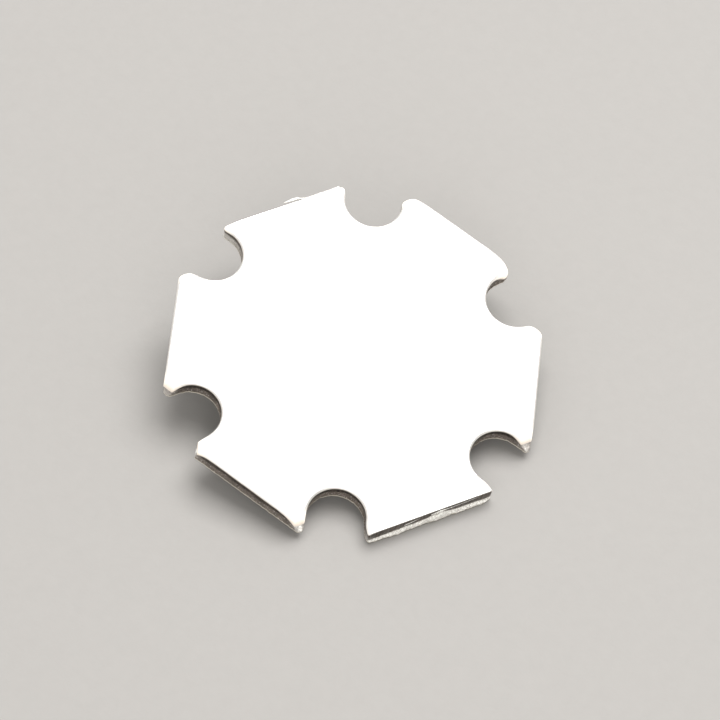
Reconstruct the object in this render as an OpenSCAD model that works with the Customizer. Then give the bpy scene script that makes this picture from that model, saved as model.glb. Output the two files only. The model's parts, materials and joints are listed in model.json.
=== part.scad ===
// High power LED on a star-shaped metal-core board, lying face down as it was dropped: the dome
// of the lens and the torn edge of one side carry it, so the bare back face looks up.
// Every piece is drawn as the board is built, back face on z = 0 and the LED above it, and
// as_it_lies() then turns it over. The origin is the centre of the back face.

/* [Board] */
// Width of the star across two opposite sides
across_flats = 20; // [16:0.5:26]
// Thickness of the aluminium base plate
base_t = 1; // [0.8:0.1:1.6]
// Thickness of the insulating layer between the aluminium and the copper
dielectric_t = 0.1; // [0.06:0.01:0.15]
// Thickness of the copper conductors
copper_t = 0.07; // [0.035:0.005:0.14]
// Thickness of the white solder mask
mask_t = 0.03; // [0.02:0.005:0.05]
// Distance from the board's outline to the edge of the solder mask
mask_inset = 0.25; // [0.15:0.05:0.4]

/* [Screw notches] */
// Width of each screw notch, a clearance fit on an M3 screw
notch_w = 3.2; // [2.6:0.1:3.8]
// How much smaller than the star's width the circle of the six screws is
screw_circle_less = 0.8; // [0:0.1:3]

/* [Sheared edges] */
// Radius at which the back face rolls over into the sheared wall
roll_r = 0.15; // [0.1:0.01:0.25]
// Corner radius in plan of the tips beside each notch
tip_plan_r = 0.3; // [0.15:0.05:0.5]
// Radius at which a tip is pulled down
tip_roll_r = 1.3; // [1.25:0.05:1.6]
// Length of a pulled-down tip, from where its two edges would meet
tip_roll_l = 1.25; // [0.8:0.05:1.25]
// How far the rear side was parted short of its place in the star
rear_short = 0.2; // [0:0.05:0.3]
// How far the torn ledge of the front side, on which the board lies, stands out
front_ledge_w = 0.16; // [0.06:0.02:0.3]
// Depth below the back face at which the front ledge starts
front_ledge_from = 0.45; // [0.3:0.05:0.55]
// Height over which the front ledge flares out
front_ledge_flare = 0.2; // [0.1:0.05:0.22]
// How far the torn ledge along half of the rear side stands out
rear_ledge_w = 0.3; // [0.1:0.02:0.36]
// Depth below the back face at which the rear ledge starts
rear_ledge_from = 0.22; // [0.22:0.02:0.4]
// Height over which the rear ledge flares out
rear_ledge_flare = 0.12; // [0.08:0.02:0.2]

/* [Copper and wire pads] */
// Distance from the board's outline to the copper
copper_inset = 0.6; // [0.5:0.05:1]
// Gap between neighbouring conductors
copper_gap = 0.3; // [0.2:0.05:0.4]
// How far the neck of the thermal copper stands out past the thermal pad of the package
neck_margin = 0.05; // [0.02:0.01:0.1]
// Half length of the neck of the thermal copper, before it fans out
neck_half_l = 2.3; // [2:0.1:2.8]
// Size of a wire pad across the current path
wire_pad_w = 2; // [1.5:0.1:2.4]
// Size of a wire pad along the side of the star
wire_pad_l = 3.2; // [2.4:0.1:4]
// Corner radius of a wire pad
wire_pad_r = 0.5; // [0.3:0.05:0.7]
// Distance from the side of the star to the outer edge of a wire pad
wire_pad_margin = 1.8; // [1.3:0.1:2.2]
// Height of the solder crown above the mask at the middle of a wire pad
crown_h = 0.16; // [0.1:0.02:0.24]
// Length of the bars of the printed plus and minus signs
sign_l = 1.3; // [0.8:0.1:1.8]
// Width of the bars of the printed signs
sign_w = 0.3; // [0.2:0.05:0.4]
// Thickness of the printed ink
ink_t = 0.02; // [0.01:0.005:0.03]

/* [LED package] */
// Side of the square ceramic body
package_w = 3.45; // [3:0.05:4]
// Thickness of the ceramic body
ceramic_t = 0.5; // [0.4:0.05:0.8]
// Thickness of the metal lands above and below the ceramic body
land_t = 0.03; // [0.02:0.005:0.05]
// Width of the anode and cathode pads below the body
side_pad_w = 0.5; // [0.4:0.05:0.6]
// Width of the thermal pad below the body
thermal_pad_w = 1.3; // [1:0.05:1.4]
// Distance from the body's edge to its pads
pad_inset = 0.08; // [0.04:0.02:0.14]
// Thickness of the solder below the package
solder_t = 0.06; // [0.04:0.01:0.1]
// Diameter of the metal-filled holes through the body
via_d = 0.2; // [0.14:0.02:0.26]
// Spacing of the metal-filled holes
via_pitch = 1.1; // [0.8:0.05:1.2]

/* [Chip and bonding] */
// Side of the square light-emitting chip
die_w = 1; // [0.7:0.05:1.2]
// Thickness of the chip
die_t = 0.12; // [0.1:0.01:0.2]
// Thickness of the metal that joins the chip to its land
attach_t = 0.02; // [0.01:0.005:0.03]
// Thickness of the phosphor coat over the chip
phosphor_t = 0.06; // [0.04:0.01:0.1]
// Diameter of the gold bond wires
wire_d = 0.04; // [0.03:0.005:0.05]
// Height of a bond wire's loop above the line through its two ends
wire_loop_h = 0.28; // [0.2:0.02:0.34]
// Side of the square protection chip
esd_w = 0.3; // [0.22:0.02:0.34]
// Thickness of the protection chip
esd_t = 0.12; // [0.08:0.01:0.16]

/* [Lens] */
// Radius of the silicone dome
lens_r = 1.35; // [1.2:0.05:1.55]
// Thickness of the silicone sheet round the dome
flange_t = 0.2; // [0.16:0.02:0.28]
// Radius of the fillet between the dome and the sheet
lens_fillet_r = 0.08; // [0.04:0.01:0.1]

/* [Hidden] */
$fn = 48;
// Overrun of a cutter past the face that it cuts through
past = 0.5;
// A roll's circle stands this far out of the faces that it joins, so it meets each at a small angle
roll_break = 0.012;
// Resolution of the larger round shapes, and of the very flat crowns
fine_fn = 96;
crown_fn = 720;

// The star's plan
apothem = across_flats / 2;
vertex_r = apothem / cos(30);
screw_r = (across_flats - screw_circle_less) / 2;
// Thickness that a pulled-down tip keeps at least
tip_left_t = 0.2;
NOTCH_ANGLES = [for (k = [0:5]) 60 * k];
SIDE_ANGLES = [for (k = [0:5]) 30 + 60 * k];
FRONT_SIDE = 90;
REAR_SIDE = 270;
function side_at(a) = a == REAR_SIDE ? apothem - rear_short : apothem;
function tip_half(a, inset = 0) = (side_at(a) - inset) * tan(30) - (notch_w / 2 + inset) / cos(30);

// The torn ledges: angle of the side, where along it the ledge starts, width, depth, flare
LEDGES = [
    [FRONT_SIDE, -vertex_r / 2, front_ledge_w, front_ledge_from, front_ledge_flare],
    [REAR_SIDE, 0, rear_ledge_w, rear_ledge_from, rear_ledge_flare],
];
// Length over which a ledge runs out of the side where it starts
ledge_ramp_l = 0.9;

// Heights above the back face
dielectric_z = base_t;
copper_z = dielectric_z + dielectric_t;
joint_z = copper_z + copper_t;
ink_z = joint_z + mask_t;
pad_z = joint_z + solder_t;
ceramic_z = pad_z + land_t;
land_z = ceramic_z + ceramic_t;
attach_z = land_z + land_t;
die_z = attach_z + attach_t;
die_top_z = die_z + die_t;
bond_pad_t = 0.02;
dome_z = land_z + flange_t;

// The pose at rest: the dome and the lower edge of the parted side share one plane
rest_reach = apothem + front_ledge_w;
dome_drop = dome_z - copper_z;
lie_tilt = asin(lens_r / norm([rest_reach, dome_drop])) + atan(dome_drop / rest_reach);

// Pads below the package
pad_l = package_w - 2 * pad_inset;
side_pad_x = package_w / 2 - pad_inset - side_pad_w / 2;
neck_w = thermal_pad_w + 2 * neck_margin;
// The edges of the thermal copper's fans run to the middles of the notches
fan_angle = atan2(screw_r / 2 - neck_w / 2, screw_r * cos(30) - neck_half_l);
fan_apex = neck_half_l - neck_w / 2 / tan(fan_angle);
wire_pad_at = apothem - wire_pad_margin - wire_pad_w / 2;
WIRE_PAD_TURNS = [-30, 30];
VIA_ROWS = [-via_pitch, 0, via_pitch];
// The printed signs stand between the wire pads and the package
sign_at = (apothem + package_w / 2) / 2 - sign_l / 2;

// Lands on top of the ceramic body
land_edge = package_w / 2 - pad_inset;
land_bar_extra = 0.1;
land_bar_w = side_pad_w + land_bar_extra;
land_bar_x = land_edge - land_bar_w / 2;
die_land_margin = 0.12;
die_land_w = die_w + 2 * die_land_margin;
link_w = 0.8;

// The chip's two bond pads, on its side towards the cathode
bond_pad_w = 0.14;
bond_pad_inset = 0.03;
bond_pad_x = die_w / 2 - bond_pad_w / 2 - bond_pad_inset;
BOND_ROWS = [-die_w / 4, die_w / 4];
bond_foot_d = 1.8 * wire_d;
bond_foot_t = 0.02;

// The protection chip stands on an arm of the anode land
esd_x = -0.125;
esd_gap = 0.14;
esd_at = [esd_x, die_land_w / 2 + esd_gap + esd_w / 2];
esd_land_margin = 0.06;
esd_land_w = esd_w + 2 * esd_land_margin;
esd_arm_w = esd_w / 2;

// One screw notch in plan, open outwards, grown by a margin
module notch_2d(grow = 0) {
    half = notch_w / 2 + grow;
    translate([screw_r, 0])
        circle(half);
    translate([screw_r, -half])
        square([vertex_r, 2 * half]);
}

// The star in plan, drawn in from its outline on every side
module star_2d(inset = 0) {
    difference() {
        circle((apothem - inset) / cos(30), $fn = 6);
        for (a = NOTCH_ANGLES)
            rotate(a)
                notch_2d(inset);
    }
}

// The hexagon in plan as it was parted, with its short rear side
module blank_2d(inset = 0) {
    difference() {
        circle((apothem - inset) / cos(30), $fn = 6);
        rotate(REAR_SIDE)
            translate([side_at(REAR_SIDE) - inset, -vertex_r])
                square([past, 2 * vertex_r]);
    }
}

// What the corner radius takes off a tip that points along +X
module tip_round_2d() {
    from = 1.5 * tip_plan_r;
    difference() {
        translate([-from, -from - past])
            square([from + past, 2 * (from + past)]);
        translate([roll_break - 2 * tip_plan_r, 0])
            circle(tip_plan_r);
    }
}

// What the corner radii take off all tips
module tip_rounds_2d(inset = 0) {
    for (a = SIDE_ANGLES, s = [-1, 1])
        rotate(a)
            translate([side_at(a) - inset, s * tip_half(a, inset)])
                rotate(s * 60)
                    tip_round_2d();
}

// The parted star in plan, drawn in from its outline on every side
module parted_star_2d(inset = 0) {
    difference() {
        blank_2d(inset);
        for (a = NOTCH_ANGLES)
            rotate(a)
                notch_2d(inset);
        tip_rounds_2d(inset);
    }
}

// One torn ledge in plan, on the side at angle 0
module ledge_2d(ledge) {
    inner = side_at(ledge[0]);
    start = ledge[1];
    outer = inner + ledge[2];
    polygon([
        [inner - past, start],
        [inner, start],
        [outer, start + ledge_ramp_l],
        [outer, vertex_r / 2],
        [inner - past, vertex_r / 2],
    ]);
}

// The parted star in plan with the two torn ledges
module ledged_star_2d() {
    difference() {
        union() {
            blank_2d();
            for (ledge = LEDGES)
                rotate(ledge[0])
                    ledge_2d(ledge);
        }
        for (a = NOTCH_ANGLES)
            rotate(a)
                notch_2d();
        tip_rounds_2d();
    }
}

// What the roll takes off an edge that runs at x = 0 with the material on its negative side
module roll_section() {
    centre = roll_r - roll_break;
    difference() {
        translate([-centre, -past])
            square([centre + past, past + centre]);
        translate([-centre, centre])
            circle(roll_r);
    }
}

// The rolled edge of one side
module side_roll(a) {
    rotate(a)
        translate([side_at(a), vertex_r / 2 + past, 0])
            rotate([90, 0, 0])
                linear_extrude(vertex_r + 2 * past)
                    roll_section();
}

// One screw notch with its rolled edge, at angle 0
module notch() {
    translate([0, 0, -past])
        linear_extrude(base_t + 2 * past)
            notch_2d();
    translate([screw_r, 0, 0]) {
        rotate_extrude()
            notch_roll_section();
        rotate([90, 0, 90])
            linear_extrude(vertex_r)
                for (m = [0, 1])
                    mirror([m, 0])
                        notch_roll_section();
    }
}

// The roll of a notch's wall, from the middle of the notch out to the wall and past it
module notch_roll_section() {
    centre = roll_r - roll_break;
    difference() {
        translate([0, -past])
            square([notch_w / 2 + centre, past + centre]);
        translate([notch_w / 2 + centre, centre])
            circle(roll_r);
    }
}

// What is pulled down at the two tips of one side
module tip_rolls(a) {
    drop = base_t - tip_left_t;
    for (s = [-1, 1])
        rotate(a)
            translate([side_at(a), s * tip_half(a), 0])
                rotate([0, 0, s * 60])
                    translate([-tip_roll_l, tip_roll_l, 0])
                        rotate([90, 0, 0])
                            linear_extrude(2 * tip_roll_l)
                                difference() {
                                    translate([0, -past])
                                        square([tip_roll_l + past, past + drop]);
                                    translate([0, tip_roll_r - roll_break])
                                        circle(tip_roll_r, $fn = fine_fn);
                                }
}

// One torn ledge, on the side at angle 0
module torn_ledge(ledge) {
    inner = side_at(ledge[0]);
    outer = inner + ledge[2];
    from_z = ledge[3];
    intersection() {
        linear_extrude(base_t)
            ledge_2d(ledge);
        translate([0, vertex_r, 0])
            rotate([90, 0, 0])
                linear_extrude(2 * vertex_r)
                    polygon([
                        [inner - 2 * past, from_z],
                        [inner, from_z],
                        [outer, from_z + ledge[4]],
                        [outer + past, from_z + ledge[4]],
                        [outer + past, base_t + past],
                        [inner - 2 * past, base_t + past],
                    ]);
    }
}

// Copper in plan: the whole field, the thermal part of it, and the left-hand pole
module thermal_zone_2d(grow = 0) {
    half = neck_w / 2 + grow;
    translate([-half, -apothem])
        square([2 * half, across_flats]);
    for (a = [0, 180])
        rotate(a)
            polygon([
                [0, fan_apex - grow / sin(fan_angle)],
                [apothem * tan(fan_angle), fan_apex + apothem - grow / sin(fan_angle)],
                [-apothem * tan(fan_angle), fan_apex + apothem - grow / sin(fan_angle)],
            ]);
}

module thermal_copper_2d(grow = 0) {
    intersection() {
        star_2d(copper_inset - grow);
        thermal_zone_2d(grow);
    }
}

module pole_copper_2d(grow = 0) {
    difference() {
        intersection() {
            star_2d(copper_inset - grow);
            translate([-vertex_r, -vertex_r])
                square([vertex_r, 2 * vertex_r]);
        }
        thermal_zone_2d(copper_gap - grow);
    }
}

module rounded_rectangle_2d(w, l, r) {
    square([w - 2 * r, l], center = true);
    square([w, l - 2 * r], center = true);
    for (x = [-1, 1], y = [-1, 1])
        translate([x * (w / 2 - r), y * (l / 2 - r)])
            circle(r);
}

module wire_pads_2d() {
    for (a = WIRE_PAD_TURNS)
        rotate(a)
            translate([-wire_pad_at, 0])
                rounded_rectangle_2d(wire_pad_w, wire_pad_l, wire_pad_r);
}

module side_pad_2d() {
    translate([-side_pad_x, 0])
        square([side_pad_w, pad_l], center = true);
}

module thermal_pad_2d() {
    square([thermal_pad_w, pad_l], center = true);
}

// Lands on the ceramic body in plan
module anode_land_2d() {
    translate([-land_bar_x, 0])
        square([land_bar_w, 2 * land_edge], center = true);
    square(die_land_w, center = true);
    translate([-land_bar_x, -link_w / 2])
        square([land_bar_x, link_w]);
    translate(esd_at)
        square(esd_land_w, center = true);
    translate([-land_bar_x, esd_at.y - esd_arm_w / 2])
        square([land_bar_x + esd_at.x, esd_arm_w]);
}

module cathode_land_2d() {
    translate([land_bar_x, 0])
        square([land_bar_w, 2 * land_edge], center = true);
}

// A bond wire in the plane through y, from a high foot to a lower one: an arc of one circle
module wire_arc(from, to) {
    span = to - from;
    chord = norm(span);
    bend_r = chord * chord / (8 * wire_loop_h) + wire_loop_h / 2;
    half_turn = asin(chord / 2 / bend_r);
    lean = atan2(span.y, span.x);
    middle = (from + to) / 2;
    below = bend_r - wire_loop_h;
    centre = middle + below * [sin(lean), -cos(lean)];
    translate([centre.x, 0, centre.y])
        rotate([90, 0, 0])
            rotate([0, 0, 90 + lean - half_turn])
                rotate_extrude(angle = 2 * half_turn)
                    translate([bend_r, 0])
                        circle(wire_d / 2, $fn = 16);
}

module bond_foot(at) {
    translate([at.x, 0, at.y])
        cylinder(d = bond_foot_d, h = bond_foot_t);
}

// A wire with its two feet; each end of the arc stands in its foot
module bonded_wire(from, to) {
    rise = [0, bond_foot_t / 2];
    wire_arc(from + rise, to + rise);
    bond_foot(from);
    bond_foot(to);
}

module die_wires() {
    for (y = BOND_ROWS)
        translate([0, y, 0])
            bonded_wire([bond_pad_x, die_top_z + bond_pad_t], [land_bar_x, attach_z]);
}

module esd_wire_shape() {
    translate([0, esd_at.y, 0])
        bonded_wire([esd_at.x, attach_z + esd_t], [land_bar_x, attach_z]);
}

module phosphor_block() {
    side = die_w + 2 * phosphor_t;
    translate([-side / 2, -side / 2, attach_z])
        cube([side, side, attach_t + die_t + phosphor_t]);
}

// The window in the phosphor over one bond pad, open to the chip's edge
module bond_windows() {
    for (y = BOND_ROWS)
        translate([bond_pad_x - bond_pad_w / 2, y - bond_pad_w / 2, die_top_z])
            cube([die_w, bond_pad_w, past]);
}

// The pieces as they are stacked, back face down
module as_it_lies() {
    rotate([180 + lie_tilt, 0, 0])
        children();
}

// The plate before its notches are punched: a hexagon with rolled sides and two torn ledges
module sheared_blank() {
    difference() {
        union() {
            linear_extrude(base_t)
                blank_2d();
            for (ledge = LEDGES)
                rotate(ledge[0])
                    torn_ledge(ledge);
        }
        for (a = SIDE_ANGLES)
            side_roll(a);
    }
}

module punched_plate() {
    difference() {
        sheared_blank();
        for (a = NOTCH_ANGLES)
            rotate(a)
                notch();
    }
}

module base_plate() {
    color("#d9d6cf")
        as_it_lies()
            difference() {
                difference() {
                    punched_plate();
                    translate([0, 0, -past])
                        linear_extrude(base_t + 2 * past)
                            tip_rounds_2d();
                }
                for (a = SIDE_ANGLES)
                    tip_rolls(a);
            }
}

module dielectric_layer() {
    color("#8f8a6a")
        as_it_lies()
            translate([0, 0, dielectric_z])
                linear_extrude(dielectric_t)
                    ledged_star_2d();
}

module copper_anode() {
    color("#b87048")
        as_it_lies()
            translate([0, 0, copper_z])
                linear_extrude(copper_t)
                    pole_copper_2d();
}

module copper_cathode() {
    color("#b87048")
        as_it_lies()
            translate([0, 0, copper_z])
                linear_extrude(copper_t)
                    mirror([1, 0])
                        pole_copper_2d();
}

module copper_thermal() {
    color("#b87048")
        as_it_lies()
            translate([0, 0, copper_z])
                linear_extrude(copper_t)
                    thermal_copper_2d();
}

module solder_mask() {
    color("#f4f4ef")
        as_it_lies()
            translate([0, 0, copper_z])
                difference() {
                    union() {
                        linear_extrude(mask_t)
                            parted_star_2d(mask_inset);
                        linear_extrude(copper_t + mask_t) {
                            thermal_copper_2d(mask_t);
                            pole_copper_2d(mask_t);
                            mirror([1, 0])
                                pole_copper_2d(mask_t);
                        }
                    }
                    translate([0, 0, -past])
                        linear_extrude(past + copper_t) {
                            thermal_copper_2d();
                            pole_copper_2d();
                            mirror([1, 0])
                                pole_copper_2d();
                        }
                    linear_extrude(copper_t + mask_t + past) {
                        thermal_pad_2d();
                        for (m = [0, 1])
                            mirror([m, 0]) {
                                side_pad_2d();
                                wire_pads_2d();
                            }
                    }
                }
}

// Tinned wire pads: the solder fills the window in the mask and stands in a low crown
module crowned_pads() {
    crown_z = mask_t + crown_h;
    corner = norm([wire_pad_w, wire_pad_l]) / 2;
    crown_r = (corner * corner + crown_h * crown_h) / (2 * crown_h);
    for (a = WIRE_PAD_TURNS)
        rotate(a)
            translate([-wire_pad_at, 0, joint_z])
                intersection() {
                    linear_extrude(crown_z)
                        rounded_rectangle_2d(wire_pad_w, wire_pad_l, wire_pad_r);
                    rotate_extrude($fn = fine_fn)
                        intersection() {
                            translate([0, crown_z - crown_r])
                                circle(crown_r, $fn = crown_fn);
                            square([wire_pad_l, crown_z]);
                        }
                }
}

// Plus on the anode side, minus on the cathode side
module polarity_print() {
    color("#26282b")
        as_it_lies()
            translate([0, 0, ink_z])
                linear_extrude(ink_t) {
                    for (x = [-sign_at, sign_at])
                        translate([x, 0])
                            square([sign_w, sign_l], center = true);
                    translate([-sign_at, 0])
                        square([sign_l, sign_w], center = true);
                }
}

module wire_pads_anode() {
    color("#c9c9c6")
        as_it_lies()
            crowned_pads();
}

module wire_pads_cathode() {
    color("#c9c9c6")
        as_it_lies()
            mirror([1, 0, 0])
                crowned_pads();
}

module solder_joint_anode() {
    color("#b9bab8")
        as_it_lies()
            translate([0, 0, joint_z])
                linear_extrude(solder_t)
                    side_pad_2d();
}

module solder_joint_cathode() {
    color("#b9bab8")
        as_it_lies()
            translate([0, 0, joint_z])
                linear_extrude(solder_t)
                    mirror([1, 0])
                        side_pad_2d();
}

module solder_joint_thermal() {
    color("#b9bab8")
        as_it_lies()
            translate([0, 0, joint_z])
                linear_extrude(solder_t)
                    thermal_pad_2d();
}

module package_pad_anode() {
    color("#d8b04a")
        as_it_lies()
            translate([0, 0, pad_z])
                linear_extrude(land_t)
                    side_pad_2d();
}

module package_pad_cathode() {
    color("#d8b04a")
        as_it_lies()
            translate([0, 0, pad_z])
                linear_extrude(land_t)
                    mirror([1, 0])
                        side_pad_2d();
}

module package_pad_thermal() {
    color("#d8b04a")
        as_it_lies()
            translate([0, 0, pad_z])
                linear_extrude(land_t)
                    thermal_pad_2d();
}

module via_row() {
    for (y = VIA_ROWS)
        translate([-side_pad_x, y, ceramic_z])
            cylinder(d = via_d, h = ceramic_t);
}

module ceramic_body() {
    color("#f1efe9")
        as_it_lies()
            difference() {
                translate([-package_w / 2, -package_w / 2, ceramic_z])
                    cube([package_w, package_w, ceramic_t]);
                via_row();
                mirror([1, 0, 0])
                    via_row();
            }
}

module vias_anode() {
    color("#b98a4e")
        as_it_lies()
            via_row();
}

module vias_cathode() {
    color("#b98a4e")
        as_it_lies()
            mirror([1, 0, 0])
                via_row();
}

module land_anode() {
    color("#dcdcd6")
        as_it_lies()
            translate([0, 0, land_z])
                linear_extrude(land_t)
                    anode_land_2d();
}

module land_cathode() {
    color("#dcdcd6")
        as_it_lies()
            translate([0, 0, land_z])
                linear_extrude(land_t)
                    cathode_land_2d();
}

module die_attach() {
    color("#d9b45a")
        as_it_lies()
            translate([-die_w / 2, -die_w / 2, attach_z])
                cube([die_w, die_w, attach_t]);
}

module led_die() {
    color("#8d9098")
        as_it_lies()
            translate([-die_w / 2, -die_w / 2, die_z])
                cube([die_w, die_w, die_t]);
}

module die_bond_pads() {
    color("#e2bd5a")
        as_it_lies()
            for (y = BOND_ROWS)
                translate([bond_pad_x - bond_pad_w / 2, y - bond_pad_w / 2, die_top_z])
                    cube([bond_pad_w, bond_pad_w, bond_pad_t]);
}

module phosphor_coat() {
    color("#f2cf3a")
        as_it_lies()
            difference() {
                phosphor_block();
                translate([-die_w / 2, -die_w / 2, attach_z - past])
                    cube([die_w, die_w, past + attach_t + die_t]);
                bond_windows();
            }
}

module bond_wires() {
    color("#e2bd5a")
        as_it_lies()
            die_wires();
}

module esd_diode() {
    color("#4c4f55")
        as_it_lies()
            translate([esd_at.x - esd_w / 2, esd_at.y - esd_w / 2, attach_z])
                cube([esd_w, esd_w, esd_t]);
}

module esd_wire() {
    color("#e2bd5a")
        as_it_lies()
            esd_wire_shape();
}

// The dome and its fillet as one revolved section, over the square silicone sheet
module lens_blank() {
    fillet_x = lens_r + lens_fillet_r;
    translate([-package_w / 2, -package_w / 2, land_z])
        cube([package_w, package_w, flange_t]);
    translate([0, 0, dome_z])
        rotate_extrude($fn = fine_fn)
            union() {
                intersection() {
                    circle(lens_r);
                    square(lens_r);
                }
                difference() {
                    square([fillet_x, lens_fillet_r]);
                    translate([fillet_x, lens_fillet_r])
                        circle(lens_fillet_r);
                }
            }
}

module lens() {
    color("#dfe9ef", 0.5)
        as_it_lies()
            difference() {
                lens_blank();
                translate([0, 0, land_z - past])
                    linear_extrude(past + land_t) {
                        anode_land_2d();
                        cathode_land_2d();
                    }
                phosphor_block();
                translate([esd_at.x - esd_w / 2, esd_at.y - esd_w / 2, land_z])
                    cube([esd_w, esd_w, land_t + esd_t]);
                die_wires();
                esd_wire_shape();
            }
}

base_plate();
dielectric_layer();
copper_anode();
copper_cathode();
copper_thermal();
solder_mask();
polarity_print();
wire_pads_anode();
wire_pads_cathode();
solder_joint_anode();
solder_joint_cathode();
solder_joint_thermal();
package_pad_anode();
package_pad_cathode();
package_pad_thermal();
ceramic_body();
vias_anode();
vias_cathode();
land_anode();
land_cathode();
die_attach();
led_die();
die_bond_pads();
phosphor_coat();
bond_wires();
esd_diode();
esd_wire();
lens();
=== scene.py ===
"""Looks of a high power LED on a star board that lies face down: the bare aluminium back looks up,
tipped onto one torn side by the dome of the lens below it. Run as a script after the part is
packed."""

import json
import math

import bmesh
import bpy
import numpy as np
from bpy.props import FloatProperty, FloatVectorProperty, IntProperty, PointerProperty
from mathutils import Matrix, Vector


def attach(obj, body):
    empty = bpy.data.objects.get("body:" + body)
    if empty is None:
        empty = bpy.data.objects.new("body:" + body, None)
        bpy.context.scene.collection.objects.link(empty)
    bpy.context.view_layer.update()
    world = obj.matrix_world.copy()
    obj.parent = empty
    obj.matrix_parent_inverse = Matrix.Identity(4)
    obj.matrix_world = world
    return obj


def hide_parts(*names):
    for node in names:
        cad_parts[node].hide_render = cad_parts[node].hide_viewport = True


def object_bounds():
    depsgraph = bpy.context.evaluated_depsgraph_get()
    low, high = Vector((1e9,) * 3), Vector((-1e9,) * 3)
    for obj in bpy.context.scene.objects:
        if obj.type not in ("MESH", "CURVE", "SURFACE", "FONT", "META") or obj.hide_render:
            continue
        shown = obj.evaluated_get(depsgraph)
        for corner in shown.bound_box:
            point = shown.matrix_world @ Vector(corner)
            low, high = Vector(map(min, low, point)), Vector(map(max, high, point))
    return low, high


bl_info = {
    "name": "Star Board LED",
    "version": (1, 0, 0),
    "blender": (4, 5, 0),
    "location": "3D View > Sidebar > Star Board",
    "description": "Builds the visible pieces of a face-down star board LED around its CAD frame",
    "category": "Add Mesh",
}

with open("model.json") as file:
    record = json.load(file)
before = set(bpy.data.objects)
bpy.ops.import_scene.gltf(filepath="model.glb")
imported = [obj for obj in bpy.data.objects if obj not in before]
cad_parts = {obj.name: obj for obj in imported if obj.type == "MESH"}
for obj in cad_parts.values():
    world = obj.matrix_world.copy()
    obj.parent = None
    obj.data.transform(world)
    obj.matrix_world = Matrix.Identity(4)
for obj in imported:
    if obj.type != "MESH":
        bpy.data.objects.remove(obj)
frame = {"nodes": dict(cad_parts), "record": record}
CAD_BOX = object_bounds()

MM = 0.001
# Each side takes up one sector of the star, and its normal stands in the middle of it
SECTOR, HALF_SECTOR = math.radians(60), math.radians(30)


def mount_axis(name):
    """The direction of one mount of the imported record."""
    return next(m["axis"] for m in frame["record"]["mounts"] if m["name"] == name)


# The board's own axes have the back face up on z = 0. The record says how far it is tipped about X.
BACK_NORMAL = mount_axis("back_face")
TIPPED = Matrix.Rotation(math.atan2(-BACK_NORMAL[1], BACK_NORMAL[2]), 4, "X")
BOARD_TO_WORLD = TIPPED @ Matrix.Scale(MM, 4)
FLOOR_Z = CAD_BOX[0].z

# Where the finer pieces meet the CAD's: depths below the back face and ways out, in millimetres
PAD_FOOT, MASK_FACE, PAD_REACH = 1.17, 1.2, 7.2
CARRIER_FACE, LAND_FACE, DIODE_FACE, CHIP_FACE = 1.76, 1.79, 1.91, 1.95


def hex_colour(text):
    """Linear RGBA of an sRGB hex colour."""
    rgb = [int(text[i : i + 2], 16) / 255 for i in (1, 3, 5)]
    return *(c / 12.92 if c <= 0.04045 else ((c + 0.055) / 1.055) ** 2.4 for c in rgb), 1.0


def length_property(name, text, mm):
    """A size that a user may change, in metres."""
    return FloatProperty(
        name=name,
        description=text,
        default=mm * MM,
        min=0,
        unit="LENGTH",
        subtype="DISTANCE",
        precision=6,
    )


def colour_property(name, text, hex_text):
    """A colour that a user may change."""
    return FloatVectorProperty(
        name=name,
        description=text,
        default=hex_colour(hex_text)[:3],
        min=0,
        max=1,
        size=3,
        subtype="COLOR",
    )


def amount_property(name, text, amount):
    """A strength that a user may change."""
    return FloatProperty(name=name, description=text, default=amount, min=0)


class StarPlateSizes(bpy.types.PropertyGroup):
    """Sizes of the punched plate and its edges"""

    across_flats: length_property("Width", "Width of the star across two opposite sides", 20)
    base_t: length_property("Plate thickness", "Thickness of the aluminium plate", 1.0)
    dielectric_t: length_property("Insulation", "Thickness of the layer under the plate", 0.1)
    notch_w: length_property("Notch width", "Width of each screw notch", 3.2)
    screw_circle_d: length_property("Screw circle", "Diameter of the circle of the screws", 19.2)
    roll_r: length_property("Roll", "Radius at which the back face rolls over its edges", 0.15)
    parted_roll_r: length_property("Parted roll", "Radius of the roll on the parted sides", 0.05)
    rear_short: length_property("Rear side short", "How short the rear side was parted", 0.3)
    front_short: length_property("Front side short", "How short the front side was parted", 0.05)
    tip_l: length_property("Tip length", "Length over which a tip is pulled down", 0.7)
    tip_drop: length_property("Tip drop", "How far a tip is pulled down at its point", 0.35)
    burnish: length_property("Burnished depth", "Depth at which the sheared band ends", 0.5)
    front_ledge_w: length_property("Front ledge", "How far the front side's ledge may reach", 0.18)
    rear_ledge_w: length_property("Rear ledge", "How far the rear side's ledge may reach", 0.3)
    burr_w: length_property("Burr", "How far the burr at the lower edge stands out", 0.025)


class PackageSizes(bpy.types.PropertyGroup):
    """Sizes of the LED package, its solder and its wires"""

    width: length_property("Package width", "Side of the square ceramic body", 3.45)
    lens_r: length_property("Lens radius", "Radius of the silicone dome", 1.35)
    flange_t: length_property("Sheet", "Thickness of the silicone sheet round the dome", 0.2)
    fillet_r: length_property("Fillet", "Radius between the dome and the sheet", 0.08)
    corner_r: length_property("Edge break", "Rounding of the moulded and fired edges", 0.03)
    wire_d: length_property("Wire", "Diameter of the gold bond wires", 0.04)
    wire_loop_h: length_property("Wire loop", "Height of a bond wire's loop", 0.28)
    pad_w: length_property("Wire pad width", "Size of a wire pad towards the rim", 2.0)
    pad_l: length_property("Wire pad length", "Size of a wire pad along the side", 3.2)
    pad_r: length_property("Wire pad corner", "Corner radius of a wire pad", 0.5)
    crown_h: length_property("Solder crown", "Height of the solder above the mask", 0.16)


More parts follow.
